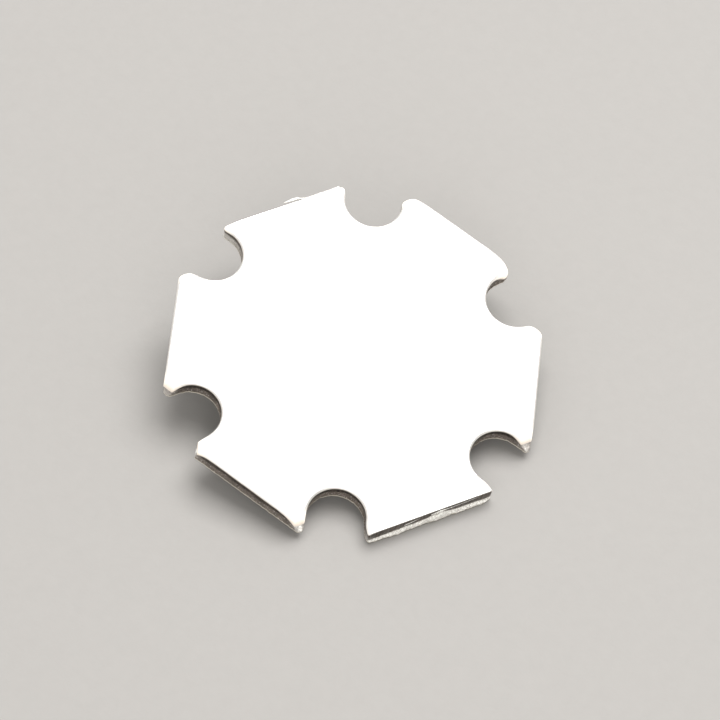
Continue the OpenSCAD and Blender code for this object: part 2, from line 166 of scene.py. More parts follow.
class Finishes(bpy.types.PropertyGroup):
    """Colours of the materials"""

    aluminium: colour_property("Aluminium", "Bare sheet", "#f0efec")
    # The tips' warm cream is a painted warm reflection of the surroundings, not a colour of the
    # metal
    pulled: colour_property("Pulled-down tips", "Stretched metal, a little warmer", "#f5efe7")
    # The burnished band is shiny smeared metal; its dark brown is a painted dark reflection of dark
    # surroundings
    burnish: colour_property("Burnished band", "Smeared, darkened sheared wall", "#554b43")
    # The broken band's brownish grey is partly its own dull colour and partly a painted dark
    # reflection
    broken: colour_property("Broken band", "Dull broken metal below the burnished band", "#938981")
    torn: colour_property("Torn metal", "Fresh bright metal of a torn side", "#f2eee8")
    dielectric: colour_property("Insulation", "Ceramic-filled epoxy", "#cbc5b4")
    copper: colour_property("Copper", "Etched foil", "#c87c55")
    mask: colour_property("Solder mask", "White screen-printed mask", "#f3f3ee")
    ink: colour_property("Ink", "Black screen-printed ink", "#232427")
    solder: colour_property("Solder", "Reflowed tin", "#c9c9c6")
    gold: colour_property("Gold", "Plating and wires", "#e6bf5c")
    silver: colour_property("Silver", "Plated lands", "#e2e2dc")
    ceramic: colour_property("Ceramic", "Fired alumina", "#f1efe9")
    chip: colour_property("Chip", "Polished semiconductor", "#7d828c")
    phosphor: colour_property("Phosphor", "Phosphor in silicone", "#f0c528")
    silicon: colour_property("Silicon", "Polished silicon", "#4c4f55")
    silicone: colour_property("Silicone", "Clear moulded silicone", "#fbfcfc")
    floor: colour_property("Floor", "Pale paper", "#7a7875")


class StageSettings(bpy.types.PropertyGroup):
    """Floor and lights"""

    floor_r: length_property("Floor radius", "Radius of the round floor", 600)
    key_power: amount_property("Key light", "Power of the softbox overhead", 4.0)
    fill_power: amount_property("Fill light", "Power of the soft fill", 2.4)
    ambient: amount_property("Ambient", "Strength of the surrounding light", 1.2)
    flakes: IntProperty(
        name="Flakes", description="Torn flakes on each square millimetre", default=6, min=0
    )


# Mesh tools


def plain_mesh(name, points, faces):
    """A mesh from points and faces as they are."""
    mesh = bpy.data.meshes.new(name)
    mesh.from_pydata([tuple(p) for p in points], [], [tuple(f) for f in faces])
    mesh.validate()
    return mesh


def board_mesh(name, points, faces, smooth_angle=40):
    """A mesh from points in the board's axes and millimetres, placed as the board lies."""
    mesh = plain_mesh(name, points, faces)
    mesh.transform(BOARD_TO_WORLD)
    finish_mesh(mesh, smooth_angle)
    return mesh


def finish_mesh(mesh, smooth_angle):
    """Smooth shading, with edges over an angle in degrees kept sharp."""
    mesh.shade_smooth()
    mesh.set_sharp_from_angle(angle=math.radians(smooth_angle))


def closed_stack(loops, depths, apex=None):
    """Points and faces of a solid from closed lines, from the highest down. The first is filled as
    its top, and the last as its bottom, or drawn together to a point on the axis at depth apex."""
    count = len(loops[0])
    points = [np.column_stack([p, np.full(count, -d)]) for p, d in zip(loops, depths)]
    points = np.concatenate(points)
    i = np.arange(count)
    j = (i + 1) % count
    faces = [i.tolist()]
    for a in range(0, (len(loops) - 1) * count, count):
        b = a + count
        faces += np.column_stack([a + i, b + i, b + j, a + j]).tolist()
    last = len(points) - count
    if apex is None:
        faces.append((last + i[::-1]).tolist())
    else:
        faces += np.column_stack([last + j, last + i, np.full(count, len(points))]).tolist()
        points = np.vstack([points, [0, 0, -apex]])
    return points, faces


def add_piece(name, mesh, slot, *nodes, finish=None):
    """An object of a finished mesh that rides on the part and stands for CAD nodes."""
    piece = bpy.data.objects.new(name, mesh)
    bpy.context.scene.collection.objects.link(piece)
    if finish:
        set_material(mesh, finish)
    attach(piece, "root")
    if nodes:
        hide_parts(*nodes)
    return piece


def set_material(mesh, finish):
    """Gives a mesh one material."""
    mesh.materials.clear()
    mesh.materials.append(material(finish))


def paint_nodes(finish, *nodes):
    """Gives CAD nodes that stay as they are their material."""
    for node in nodes:
        set_material(frame["nodes"][node].data, finish)


def add_softened(name, node, slot, finish, width, segments=2):
    """A copy of a CAD node that replaces it, its flat faces joined and its edges broken."""
    merge_distance, flat_angle, sharp_angle, smooth_angle = 1e-7, 1, 30, 35
    mesh = frame["nodes"][node].data.copy()
    mesh.name = name
    bm = bmesh.new()
    bm.from_mesh(mesh)
    bmesh.ops.remove_doubles(bm, verts=bm.verts, dist=merge_distance)
    bmesh.ops.dissolve_limit(
        bm,
        angle_limit=math.radians(flat_angle),
        use_dissolve_boundaries=False,
        verts=bm.verts,
        edges=bm.edges,
    )
    edges = [e for e in bm.edges if len(e.link_faces) == 2]
    bmesh.ops.bevel(
        bm,
        geom=[e for e in edges if e.calc_face_angle() > math.radians(sharp_angle)],
        offset=width * MM,
        segments=segments,
        profile=0.5,
        affect="EDGES",
        clamp_overlap=True,
    )
    bm.to_mesh(mesh)
    bm.free()
    for layer in [a.name for a in mesh.attributes if a.name.startswith("custom")]:
        mesh.attributes.remove(mesh.attributes[layer])
    finish_mesh(mesh, smooth_angle)
    return add_piece(name, mesh, slot, node, finish=finish)


def smooth_step(low, high, x):
    """0 below low, 1 above high, and smooth between."""
    t = np.clip((x - low) / (high - low), 0, 1)
    return t * t * (3 - 2 * t)


def ring_noise(turn, cells, seed):
    """Smooth noise from -1 to 1 along a closed line, turn running from 0 to 1 round it."""
    table = np.random.default_rng(seed).uniform(-1, 1, cells)
    x = (turn % 1) * cells
    i = np.floor(x).astype(int)
    f = smooth_step(0, 1, x - i)
    return table[i % cells] * (1 - f) + table[(i + 1) % cells] * f


def wall_noise(turn, depth, cells, cell_h, seed):
    """Smooth noise from -1 to 1 over a wall: round the closed line and down it."""
    rows = 64
    table = np.random.default_rng(seed).uniform(-1, 1, (rows, cells))
    x, y = (turn % 1) * cells, depth / cell_h
    i, j = np.floor(x).astype(int), np.floor(y).astype(int)
    f, g = smooth_step(0, 1, x - i), smooth_step(0, 1, y - j)
    i0, i1, j0, j1 = i % cells, (i + 1) % cells, j % rows, (j + 1) % rows
    low = table[j0, i0] * (1 - f) + table[j0, i1] * f
    high = table[j1, i0] * (1 - f) + table[j1, i1] * f
    return low * (1 - g) + high * g


def way_at(angle):
    """The direction at an angle in plan."""
    return np.array([math.cos(angle), math.sin(angle)])


# The star's outline. Side k has its normal at 30 + 60 k degrees, and notch k follows it at
# 60 (k + 1). Tips are counted in pairs: the start and the end of each side.

SIDE_POINTS = 150
TIP_POINTS = 14
WALL_POINTS = 14
ARC_POINTS = 96
SECTOR_POINTS = SIDE_POINTS + 2 * TIP_POINTS + 2 * WALL_POINTS + ARC_POINTS
LOOP_POINTS = 6 * SECTOR_POINTS
FRONT_SIDE, REAR_SIDE = 4, 1
# How far inside the outline the flat of the face starts, at most and on the short rear side
FLAT_INSET, REAR_FLAT_INSET = 0.56, 0.32
FACE_LOOPS, INSET_LINES, WALL_LOOPS = 10, 15, 25
SMALLEST_RADIUS = 0.02
# Cells round the star and seed of each noise. The outline is about 90 mm long, so a hundred cells
# are 0.9 mm each.
RING_NOISES = {
    "roll": (110, 3),
    "ledge": (150, 11),
    "ledge_grain": (620, 12),
    "band": (100, 21),
    "band_grain": (560, 22),
    "burr": (640, 34),
    "blob": (500, 35),
    "break": (400, 36),
}
# One row for each tip. Pull is how strongly it is pulled down: least on the two sides where the
# star was parted from its strip. Burr is how much bright torn metal there is below it, and pale
# how pale its broken metal is. The rest is in millimetres: what the roll's radius grows by, and
# at the back face and at the lower edge the corner's radius in plan, how far the notch flares
# there, and how far inside the point where its edges would meet the nose is cut off flat.
TIPS = np.array(
    [
        #  pull   burr   pale   roll radius  flare    cut radius  flare    cut
        [  0.8,     0,     0,   0.3,   0.7,     0,     0,  0.72,     0,     0],
        [  0.9,     0,     0,  0.12,  0.52,     0,     0,  0.55,     0,     0],
        [  0.3,   0.6,     0,  0.04,  0.14,   0.1,     0,   0.2,   0.1,     0],
        [  0.4,   0.3,   0.7,  0.05,  0.16,  0.06,     0,   0.2,  0.06,     0],
        [  0.9,     0,     0,  0.15,   0.5,     0,     0,  0.52,     0,     0],
        [ 0.85,  0.45,     0,  0.18,  0.38,     0,  0.52,  0.34,     0,     0],
        [    1,   0.7,     0,  0.16,  0.44,  0.06,   0.6,   0.4,     0,   0.6],
        [  0.9,   0.7,     0,  0.22,  0.36,     0,   0.5,  0.26,     0,     0],
        [  0.2,   0.6,     0,  0.02,  0.09,  0.22,     0,  0.12,  0.27,     0],
        [  0.1,   0.3,     0,     0,  0.09,   0.2,     0,  0.15,  0.15,     0],
        [  0.8,  0.55,     0,  0.18,  0.38,     0,  0.54,   0.2,     0,     0],
        [  0.9,     0,     0,  0.15,  0.56,     0,     0,  0.58,     0,     0],
    ]
).T
TIP_PULLS, TIP_BURRS, TIP_PALES, TIP_ROLLS = TIPS[:4]
UPPER_EDGE, LOWER_EDGE = TIPS[4:7], TIPS[7:10]
# How far each side's wall leans in over its depth
WALL_LEANS = np.array([0.0, 0.0, 0.07, 0.0, 0.0, 0.0])


class StarOutline:
    """Closed lines round the star, all with the same number of points in the same order."""

    def __init__(self, sizes):
        self.half = sizes.notch_w / MM / 2
        self.screw_r = sizes.screw_circle_d / MM / 2
        self.side_at = np.full(6, sizes.across_flats / MM / 2)
        self.side_at[REAR_SIDE] -= sizes.rear_short / MM
        self.side_at[FRONT_SIDE] -= sizes.front_short / MM
        # The points of a side lie a little closer together towards its ends
        even = (np.arange(SIDE_POINTS) + 1) / (SIDE_POINTS + 1)
        self.along = 0.6 * even + 0.4 * (1 - np.cos(math.pi * even)) / 2
        self.insets = np.linspace(0, FLAT_INSET, INSET_LINES)
        self.rings = np.array([self.line(inset)[0] for inset in self.insets])
        self.top, self.top_way = self.line(0.0)
        self.bottom, self.bottom_way = self.line(0.0, LOWER_EDGE)
        steps = np.linalg.norm(np.roll(self.top, -1, axis=0) - self.top, axis=1)
        self.turn = np.concatenate([[0], np.cumsum(steps)[:-1]]) / steps.sum()
        self.noise = {name: ring_noise(self.turn, *how) for name, how in RING_NOISES.items()}
        # The flat reaches nearer to the rear side, and draws back along the notches beside it
        at = np.arange(LOOP_POINTS)
        rear_start = REAR_SIDE * SECTOR_POINTS - WALL_POINTS
        rear_end = (REAR_SIDE + 1) * SECTOR_POINTS - ARC_POINTS - WALL_POINTS
        away = smooth_step(0, 0.8 * ARC_POINTS, np.maximum(rear_start - at, at - rear_end))
        self.flat = REAR_FLAT_INSET + (FLAT_INSET - REAR_FLAT_INSET) * away
        # Each point's side, its share of the way along it, and how fully it belongs to it
        self.side = np.repeat(np.arange(6), SECTOR_POINTS)
        rest = SECTOR_POINTS - SIDE_POINTS - 2 * TIP_POINTS
        fade = (np.arange(TIP_POINTS) + 0.5) / TIP_POINTS
        off, first, last = np.zeros(rest), np.zeros(TIP_POINTS), np.ones(TIP_POINTS)
        self.t = np.tile(np.concatenate([first, self.along, last, off - 1]), 6)
        belongs = np.concatenate([fade, np.ones(SIDE_POINTS), 1 - fade, off])
        self.on_side = np.tile(belongs, 6)
        self.tips, self.tip_ways = [], []
        for n, (radius, _, cut) in enumerate(UPPER_EDGE.T):
            k, start = n // 2, n % 2 == 0
            u = (self.side_at[k] - self.half * math.sin(HALF_SECTOR)) / math.cos(HALF_SECTOR)
            way = way_at(HALF_SECTOR + SECTOR * k + (-SECTOR if start else SECTOR))
            corner = self.in_plan(k, start, np.array([u, self.half]))
            # The rounding takes one radius off a corner of 60 degrees
            self.tips.append(corner - way * max(radius, cut))
            self.tip_ways.append(way)

    def in_plan(self, k, start, points):
        """Turns (along the notch's axis, away from it) into the plan, at one end of side k."""
        angle = SECTOR * (k if start else k + 1)
        out = way_at(angle)
        left = np.array([-math.sin(angle), math.cos(angle)]) * (1 if start else -1)
        return np.multiply.outer(points[..., 0], out) + np.multiply.outer(points[..., 1], left)

    def tip(self, side_at, half, radius, flare, cut):
        """A rounded tip and the notch wall inside it, from the side inwards: points, ways out and
        the point where the side starts."""
        u_tip = (side_at - (half + flare) * math.sin(HALF_SECTOR)) / math.cos(HALF_SECTOR)
        deep = u_tip - self.screw_r
        slope = 2 * flare / deep
        corner = SECTOR + math.atan(slope)
        point = np.array([u_tip, half + flare])
        along_side = np.array([-math.sin(HALF_SECTOR), math.cos(HALF_SECTOR)])
        along_wall = -np.array([1.0, slope]) / math.hypot(1, slope)
        # The rounding leaves a little of the notch's wall straight
        radius = min(radius, 0.93 * deep * math.tan(corner / 2))
        reach = radius / math.tan(corner / 2)
        middle = along_side + along_wall
        middle /= np.linalg.norm(middle)
        centre = point + middle * radius / math.sin(corner / 2)
        first = point + along_side * reach - centre
        last = point + along_wall * reach - centre
        a, b = math.atan2(first[1], first[0]), math.atan2(last[1], last[0])
        b -= 2 * math.pi * round((b - a) / (2 * math.pi))
        bend = np.linspace(a, b, TIP_POINTS)
        ways = np.column_stack([np.cos(bend), np.sin(bend)])
        arc = centre + radius * ways
        arc = arc + np.outer(np.maximum(0, cut - (arc - point) @ middle), middle)
        share = np.linspace(1, 0, WALL_POINTS + 2)[1:-1]
        u = self.screw_r + (arc[-1, 0] - self.screw_r) * share
        rise = (u - self.screw_r) / deep
        wall = np.column_stack([u, half + flare * rise**2])
        wall_ways = np.column_stack([2 * flare * rise / deep, -np.ones(WALL_POINTS)])
        wall_ways /= np.linalg.norm(wall_ways, axis=1)[:, None]
        return np.vstack([arc, wall]), np.vstack([ways, wall_ways]), arc[0]

    def line(self, inset, edge=UPPER_EDGE):
        """The closed line that lies inset inside one edge, and the way out at each point."""
        half = self.half + inset
        bend = np.linspace(-math.pi / 2, math.pi / 2, ARC_POINTS)
        arc = np.column_stack([self.screw_r - half * np.cos(bend), half * np.sin(bend)])
        arc_ways = np.column_stack([np.cos(bend), -np.sin(bend)])
        ends = []
        for n, (radius, flare, cut) in enumerate(edge.T):
            k, start = n // 2, n % 2 == 0
            radius = max(radius - inset, SMALLEST_RADIUS)
            made = self.tip(self.side_at[k] - inset, half, radius, flare, cut - inset)
            ends.append([self.in_plan(k, start, x) for x in made])
        parts = []
        for k in range(6):
            points, ways, first = ends[2 * k]
            parts.append((points[:TIP_POINTS][::-1], ways[:TIP_POINTS][::-1]))
            points, ways, last = ends[2 * k + 1]
            side_way = way_at(HALF_SECTOR + SECTOR * k)
            side = first + np.outer(self.along, last - first)
            parts.append((side, np.tile(side_way, (SIDE_POINTS, 1))))
            parts.append((points, ways))
            parts.append([self.in_plan(k + 1, True, x) for x in (arc, arc_ways)])
            points, ways, _ = ends[(2 * k + 2) % len(ends)]
            parts.append((points[TIP_POINTS:][::-1], ways[TIP_POINTS:][::-1]))
        return [np.concatenate(column) for column in zip(*parts)]

    def inside(self, inset):
        """The line inside the back face's outline by each point's own inset."""
        place = np.clip(inset / self.insets[1], 0, len(self.insets) - 1)
        ring = np.minimum(place.astype(int), len(self.insets) - 2)
        share = (place - ring)[:, None]
        at = np.arange(LOOP_POINTS)
        return self.rings[ring, at] * (1 - share) + self.rings[ring + 1, at] * share

    def near_tips(self, reach, strengths):
        """How near each point of the outline is to a tip, times that tip's strength."""
        far = np.array([np.linalg.norm(self.top - tip, axis=1) for tip in self.tips]) / reach
        return np.max(np.exp(-(far**2)) * strengths[:, None], axis=0)

    def wall(self, lower, out):
        """The line between the upper edge (lower 0) and the lower one (1), moved out by out."""
        share = np.asarray(lower)[:, None]
        line = self.top * (1 - share) + self.bottom * share
        ways = self.top_way * (1 - share) + self.bottom_way * share
        return line + ways / np.linalg.norm(ways, axis=1)[:, None] * np.asarray(out)[:, None]


# Shares of the way along the front side, with the depth at which its ledge starts: chips reach
# high just past the middle
FRONT_STARTS = np.array(
    [
        [0, 0.12, 0.2, 0.33, 0.46, 0.5, 0.54, 0.6, 0.63, 0.67, 0.75, 0.91, 1],
        [0.82, 0.76, 0.74, 0.72, 0.68, 0.58, 0.42, 0.36, 0.58, 0.7, 0.76, 0.74, 0.78],
    ]
)
# And how far it stands out: it runs out at its far end
FRONT_STANDS = np.array(
    [
        [0, 0.05, 0.12, 0.23, 0.32, 0.39, 0.46, 0.55, 0.6, 0.67, 0.76, 0.88, 0.97, 1],
        [0.08, 0.09, 0.1, 0.15, 0.14, 0.12, 0.12, 0.15, 0.15, 0.14, 0.17, 0.15, 0.13, 0.06],
    ]
)
# The rear side's ledge, along its first third: even, from a sharp start beside the tip
REAR_STANDS = np.array(
    [
        [0, 0.012, 0.05, 0.1, 0.2, 0.29, 0.33, 0.36],
        [0.0, 0.2, 0.19, 0.18, 0.18, 0.16, 0.1, 0.0],
    ]
)
REAR_END = REAR_STANDS[0, -1]
NO_LEDGE = 9.0


def ledge_shape(star, sizes):
    """Depth at which each point's torn ledge starts, how far it stands out and how high its
    flare is."""
    t, rough, fine = star.t, star.noise["ledge"], star.noise["ledge_grain"]
    start = np.full(LOOP_POINTS, NO_LEDGE)
    width = np.zeros(LOOP_POINTS)
    flare = np.full(LOOP_POINTS, 0.16)
    front = (star.on_side > 0) & (star.side == FRONT_SIDE)
    chipped = 1 + 2.2 * np.exp(-(((t - 0.57) / 0.1) ** 2))
    begin = np.interp(t, *FRONT_STARTS) + (0.025 * rough + 0.02 * fine) * chipped
    stands = (np.interp(t, *FRONT_STANDS) + 0.016 * rough + 0.01 * fine) * star.on_side
    start[front] = begin[front]
    width[front] = np.clip(stands[front], 0, sizes.front_ledge_w / MM)
    rear = (star.on_side == 1) & (star.side == REAR_SIDE) & (t < REAR_END)
    stands = np.interp(t, *REAR_STANDS) * (1 + 0.06 * rough)
    start[rear] = (0.2 + 0.02 * rough + 0.015 * fine)[rear]
    width[rear] = np.clip(stands[rear], 0, sizes.rear_ledge_w / MM)
    flare[rear] = 0.06
    return start, width, flare


def tip_depth(star, points, sizes):
    """How far the pulled-down tips lower the points of one loop."""
    length, drop = sizes.tip_l / MM, sizes.tip_drop / MM
    depth = np.zeros(len(points))
    for tip, way, pull in zip(star.tips, star.tip_ways, TIP_PULLS):
        near = np.linalg.norm(points - tip, axis=1) < length * 1.5
        reach = np.clip(1 + (points - tip) @ way / length, 0, 1)
        depth = np.where(near, np.maximum(depth, pull * drop * reach**2), depth)
    return depth


# What the aluminium reads at each point: how far down the wall it is, how torn, how freshly torn
# and how far pulled down
PLATE_VALUES = ("wall", "torn", "fresh", "pulled")


def set_plate_values(mesh, *values):
    """Keeps those values on a mesh, each one number or one for each point."""
    for name, value in zip(PLATE_VALUES, values):
        numbers = np.full(len(mesh.vertices), value, np.float32)
        mesh.attributes.new(name, "FLOAT", "POINT").data.foreach_set("value", numbers)


def plate_loops(star, sizes):
    """All loops of the plate from the flat of its back face to its lower edge: their points,
    depths and plate values."""
    base_t, burnish, burr = sizes.base_t / MM, sizes.burnish / MM, sizes.burr_w / MM
    noise, flat, zero = star.noise, star.flat, np.zeros(LOOP_POINTS)
    parted = star.on_side * np.isin(star.side, (FRONT_SIDE, REAR_SIDE))
    roll = sizes.roll_r / MM * (1 - parted) + sizes.parted_roll_r / MM * parted
    roll = roll * (1 + 0.16 * np.abs(noise["roll"])) + star.near_tips(0.8, TIP_ROLLS)
    loops = []
    for share in np.linspace(0, 1, FACE_LOOPS + 1)[:-1]:
        points = star.inside(flat + (roll - flat) * share)
        tips = tip_depth(star, points, sizes) * smooth_step(0, 0.4, share)
        loops.append((points, tips, zero, zero, zero, tips))
    for degrees in range(0, 91, 10):
        bend = math.radians(degrees)
        points = star.inside(roll * (1 - math.sin(bend)))
        depth = roll * (1 - math.cos(bend)) + tip_depth(star, points, sizes)
        loops.append((points, depth, zero + degrees / 180, zero, zero, depth))
    top = loops[-1][1]
    start, width, flare = ledge_shape(star, sizes)
    # The smooth band ends at a ragged line, or where the ledge starts
    ends = burnish * (1 + 0.1 * noise["band"] + 0.06 * noise["band_grain"])
    ends = np.maximum(np.where(width > 0.01, start, ends), top + 0.02)
    # Bright metal below the tips
    blob = star.near_tips(0.4, TIP_BURRS) * (1 + 0.5 * noise["blob"])
    blob = np.maximum(blob, star.near_tips(1.7, TIP_PALES))
    lean = WALL_LEANS[star.side] * star.on_side
    for share in np.linspace(0, 1, WALL_LOOPS + 1)[1:]:
        depth = top + (base_t - top) * share
        # The rear ledge breaks off aslant: it is longest at its upper edge
        aslant = REAR_END + 0.02 - 0.16 * depth + 0.012 * noise["break"] - star.t
        whole = smooth_step(-0.02, 0.02, aslant)
        stands = width * np.where(star.side == REAR_SIDE, whole, 1.0)
        on_ledge = smooth_step(0.01, 0.04, stands) * smooth_step(-0.02, 0.03, depth - start)
        fresh = np.maximum(on_ledge, smooth_step(0.35, 0.6, depth) * np.clip(blob, 0, 1))
        torn = np.maximum(smooth_step(-0.03, 0.05, depth - ends), fresh)
        # Broken metal is rough and lies back a little, and the burr hangs at the lower edge
        grain = wall_noise(star.turn, depth, 1500, 0.05, 31)
        grain = grain + 0.7 * wall_noise(star.turn, depth, 700, 0.11, 32)
        out = torn * (0.008 * grain - 0.014)
        out = out + stands * smooth_step(0, 1, (depth - start) / flare) * (1 + 0.03 * grain)
        lip = smooth_step(base_t - 0.1, base_t - 0.01, depth) * (width < 0.01)
        out = out + lip * burr * (0.5 + 0.5 * noise["burr"])
        out = np.minimum(out, np.maximum(width, burr)) - lean * depth
        points = star.wall(smooth_step(0, 0.9, zero + share), out)
        loops.append((points, depth, zero + 0.5 + 0.5 * share, torn, fresh, top))
    return loops


# Geometry trees


def new_tree(name, **sizes):
    """A geometry tree that takes a geometry, a material and named sizes, and what it is given."""
    tree = bpy.data.node_groups.new(name, "GeometryNodeTree")
    tree.interface.new_socket("Geometry", in_out="OUTPUT", socket_type="NodeSocketGeometry")
    for label, kind in {"Geometry": "Geometry", "Material": "Material", **sizes}.items():
        label = label.replace("_", " ").title()
        tree.interface.new_socket(label, in_out="INPUT", socket_type="NodeSocket" + kind)
    return tree, tree.nodes.new("NodeGroupInput").outputs


def end_tree(tree, given, instances):
    """Ends a tree: real meshes of the given material."""
    real = add_node(tree, "GeometryNodeRealizeInstances", {"Geometry": instances})
    ends = {"Geometry": real, "Material": given["Material"]}
    done = add_node(tree, "GeometryNodeSetMaterial", ends)
    tree.links.new(done, tree.nodes.new("NodeGroupOutput").inputs["Geometry"])
    return tree


def add_node(tree, kind, inputs, out=None, **settings):
    """Adds a node and gives one of its outputs, the first if out names none. Inputs and outputs
    go by their identifiers. An input is a value, or sockets that are linked to it."""
    node = tree.nodes.new(kind)
    for key, value in settings.items():
        setattr(node, key, value)
    slots = {socket.identifier: socket for socket in node.inputs}
    for key, value in inputs.items():
        for source in value if isinstance(value, list) else [value]:
            if isinstance(source, bpy.types.NodeSocket):
                tree.links.new(source, slots[key])
            else:
                slots[key].default_value = source
    return next((s for s in node.outputs if out in (None, s.identifier)), None)


def made_by_tree(name, base_mesh, tree, values):
    """The plain mesh that a geometry tree makes of a base mesh."""
    maker = bpy.data.objects.new(name, base_mesh)
    bpy.context.scene.collection.objects.link(maker)
    modifier = maker.modifiers.new(tree.name, "NODES")
    modifier.node_group = tree
    for item in tree.interface.items_tree:
        if item.item_type == "SOCKET" and item.in_out == "INPUT" and item.name in values:
            modifier[item.identifier] = values[item.name]
    bpy.context.view_layer.update()
    evaluated = maker.evaluated_get(bpy.context.evaluated_depsgraph_get())
    mesh = bpy.data.meshes.new_from_object(evaluated)
    mesh.name = name
    maker.modifiers.clear()
    bpy.data.objects.remove(maker)
    finish_mesh(mesh, 50)
    return mesh


# Materials


def new_material(name):
    """An empty node material and its tree."""
    made = bpy.data.materials.new(name)
    made.use_nodes = True
    made.node_tree.nodes.clear()
    return made, made.node_tree


def set_surface(tree, inputs):
    """Ends a material in a shader with these inputs."""
    shader = add_node(tree, "ShaderNodeBsdfPrincipled", inputs)
    add_node(tree, "ShaderNodeOutputMaterial", {"Surface": shader})


def board_coordinates(tree):
    """Object coordinates turned back to the board's own axes."""
    place = add_node(tree, "ShaderNodeTexCoord", {}, "Object")
    turn = TIPPED.inverted().to_euler()
    return add_node(tree, "ShaderNodeMapping", {"Vector": place, "Rotation": turn})


def shade(colour, factor=1.0):
    """A colour with its alpha, made lighter or darker."""
    return *(min(1.0, c * factor) for c in colour), 1.0


def noise_scale(size_mm):
    """Scale of a noise whose grains are about size_mm across."""
    return 1 / (size_mm * MM)


def add_rows(tree, made, kind, keys, rows, out=None, **settings):
    """Adds a node for each row of a table: its name, then its inputs in the order of keys. Text in
    a row stands for a node that was made before."""
    for name, *row in rows:
        values = [made[value] if isinstance(value, str) else value for value in row]
        made[name] = add_node(tree, kind, dict(zip(keys, values)), out, **settings)


def plain_material(name, colour, metallic, roughness, grain_mm, contrast, relief_mm, ior=None):
    """A material of one finish: a grain in its colour, and a finer one in its roughness and
    relief."""
    made, tree = new_material(name)
    place = board_coordinates(tree)
    grain, fine = (
        add_node(
            tree,
            "ShaderNodeTexNoise",
            {"Vector": place, "Scale": noise_scale(size), "Detail": detail},
        )
        for size, detail in ((grain_mm, 2.0), (grain_mm / 4, 3.0))
    )
    dark, light = shade(colour, 1 - contrast), shade(colour, 1 + contrast)
    tone = {"Factor_Float": grain, "A_Color": dark, "B_Color": light}
    rough = {"Value": fine, "To Min": roughness * 0.8, "To Max": roughness * 1.2}
    relief = {"Distance": relief_mm * MM, "Height": fine}
    inputs = {
        "Base Color": add_node(tree, "ShaderNodeMix", tone, "Result_Color", data_type="RGBA"),
        "Roughness": add_node(tree, "ShaderNodeMapRange", rough),
        "Normal": add_node(tree, "ShaderNodeBump", relief),
        "Metallic": metallic,
    }
    if ior:
        inputs["IOR"] = ior
    set_surface(tree, inputs)
    return made


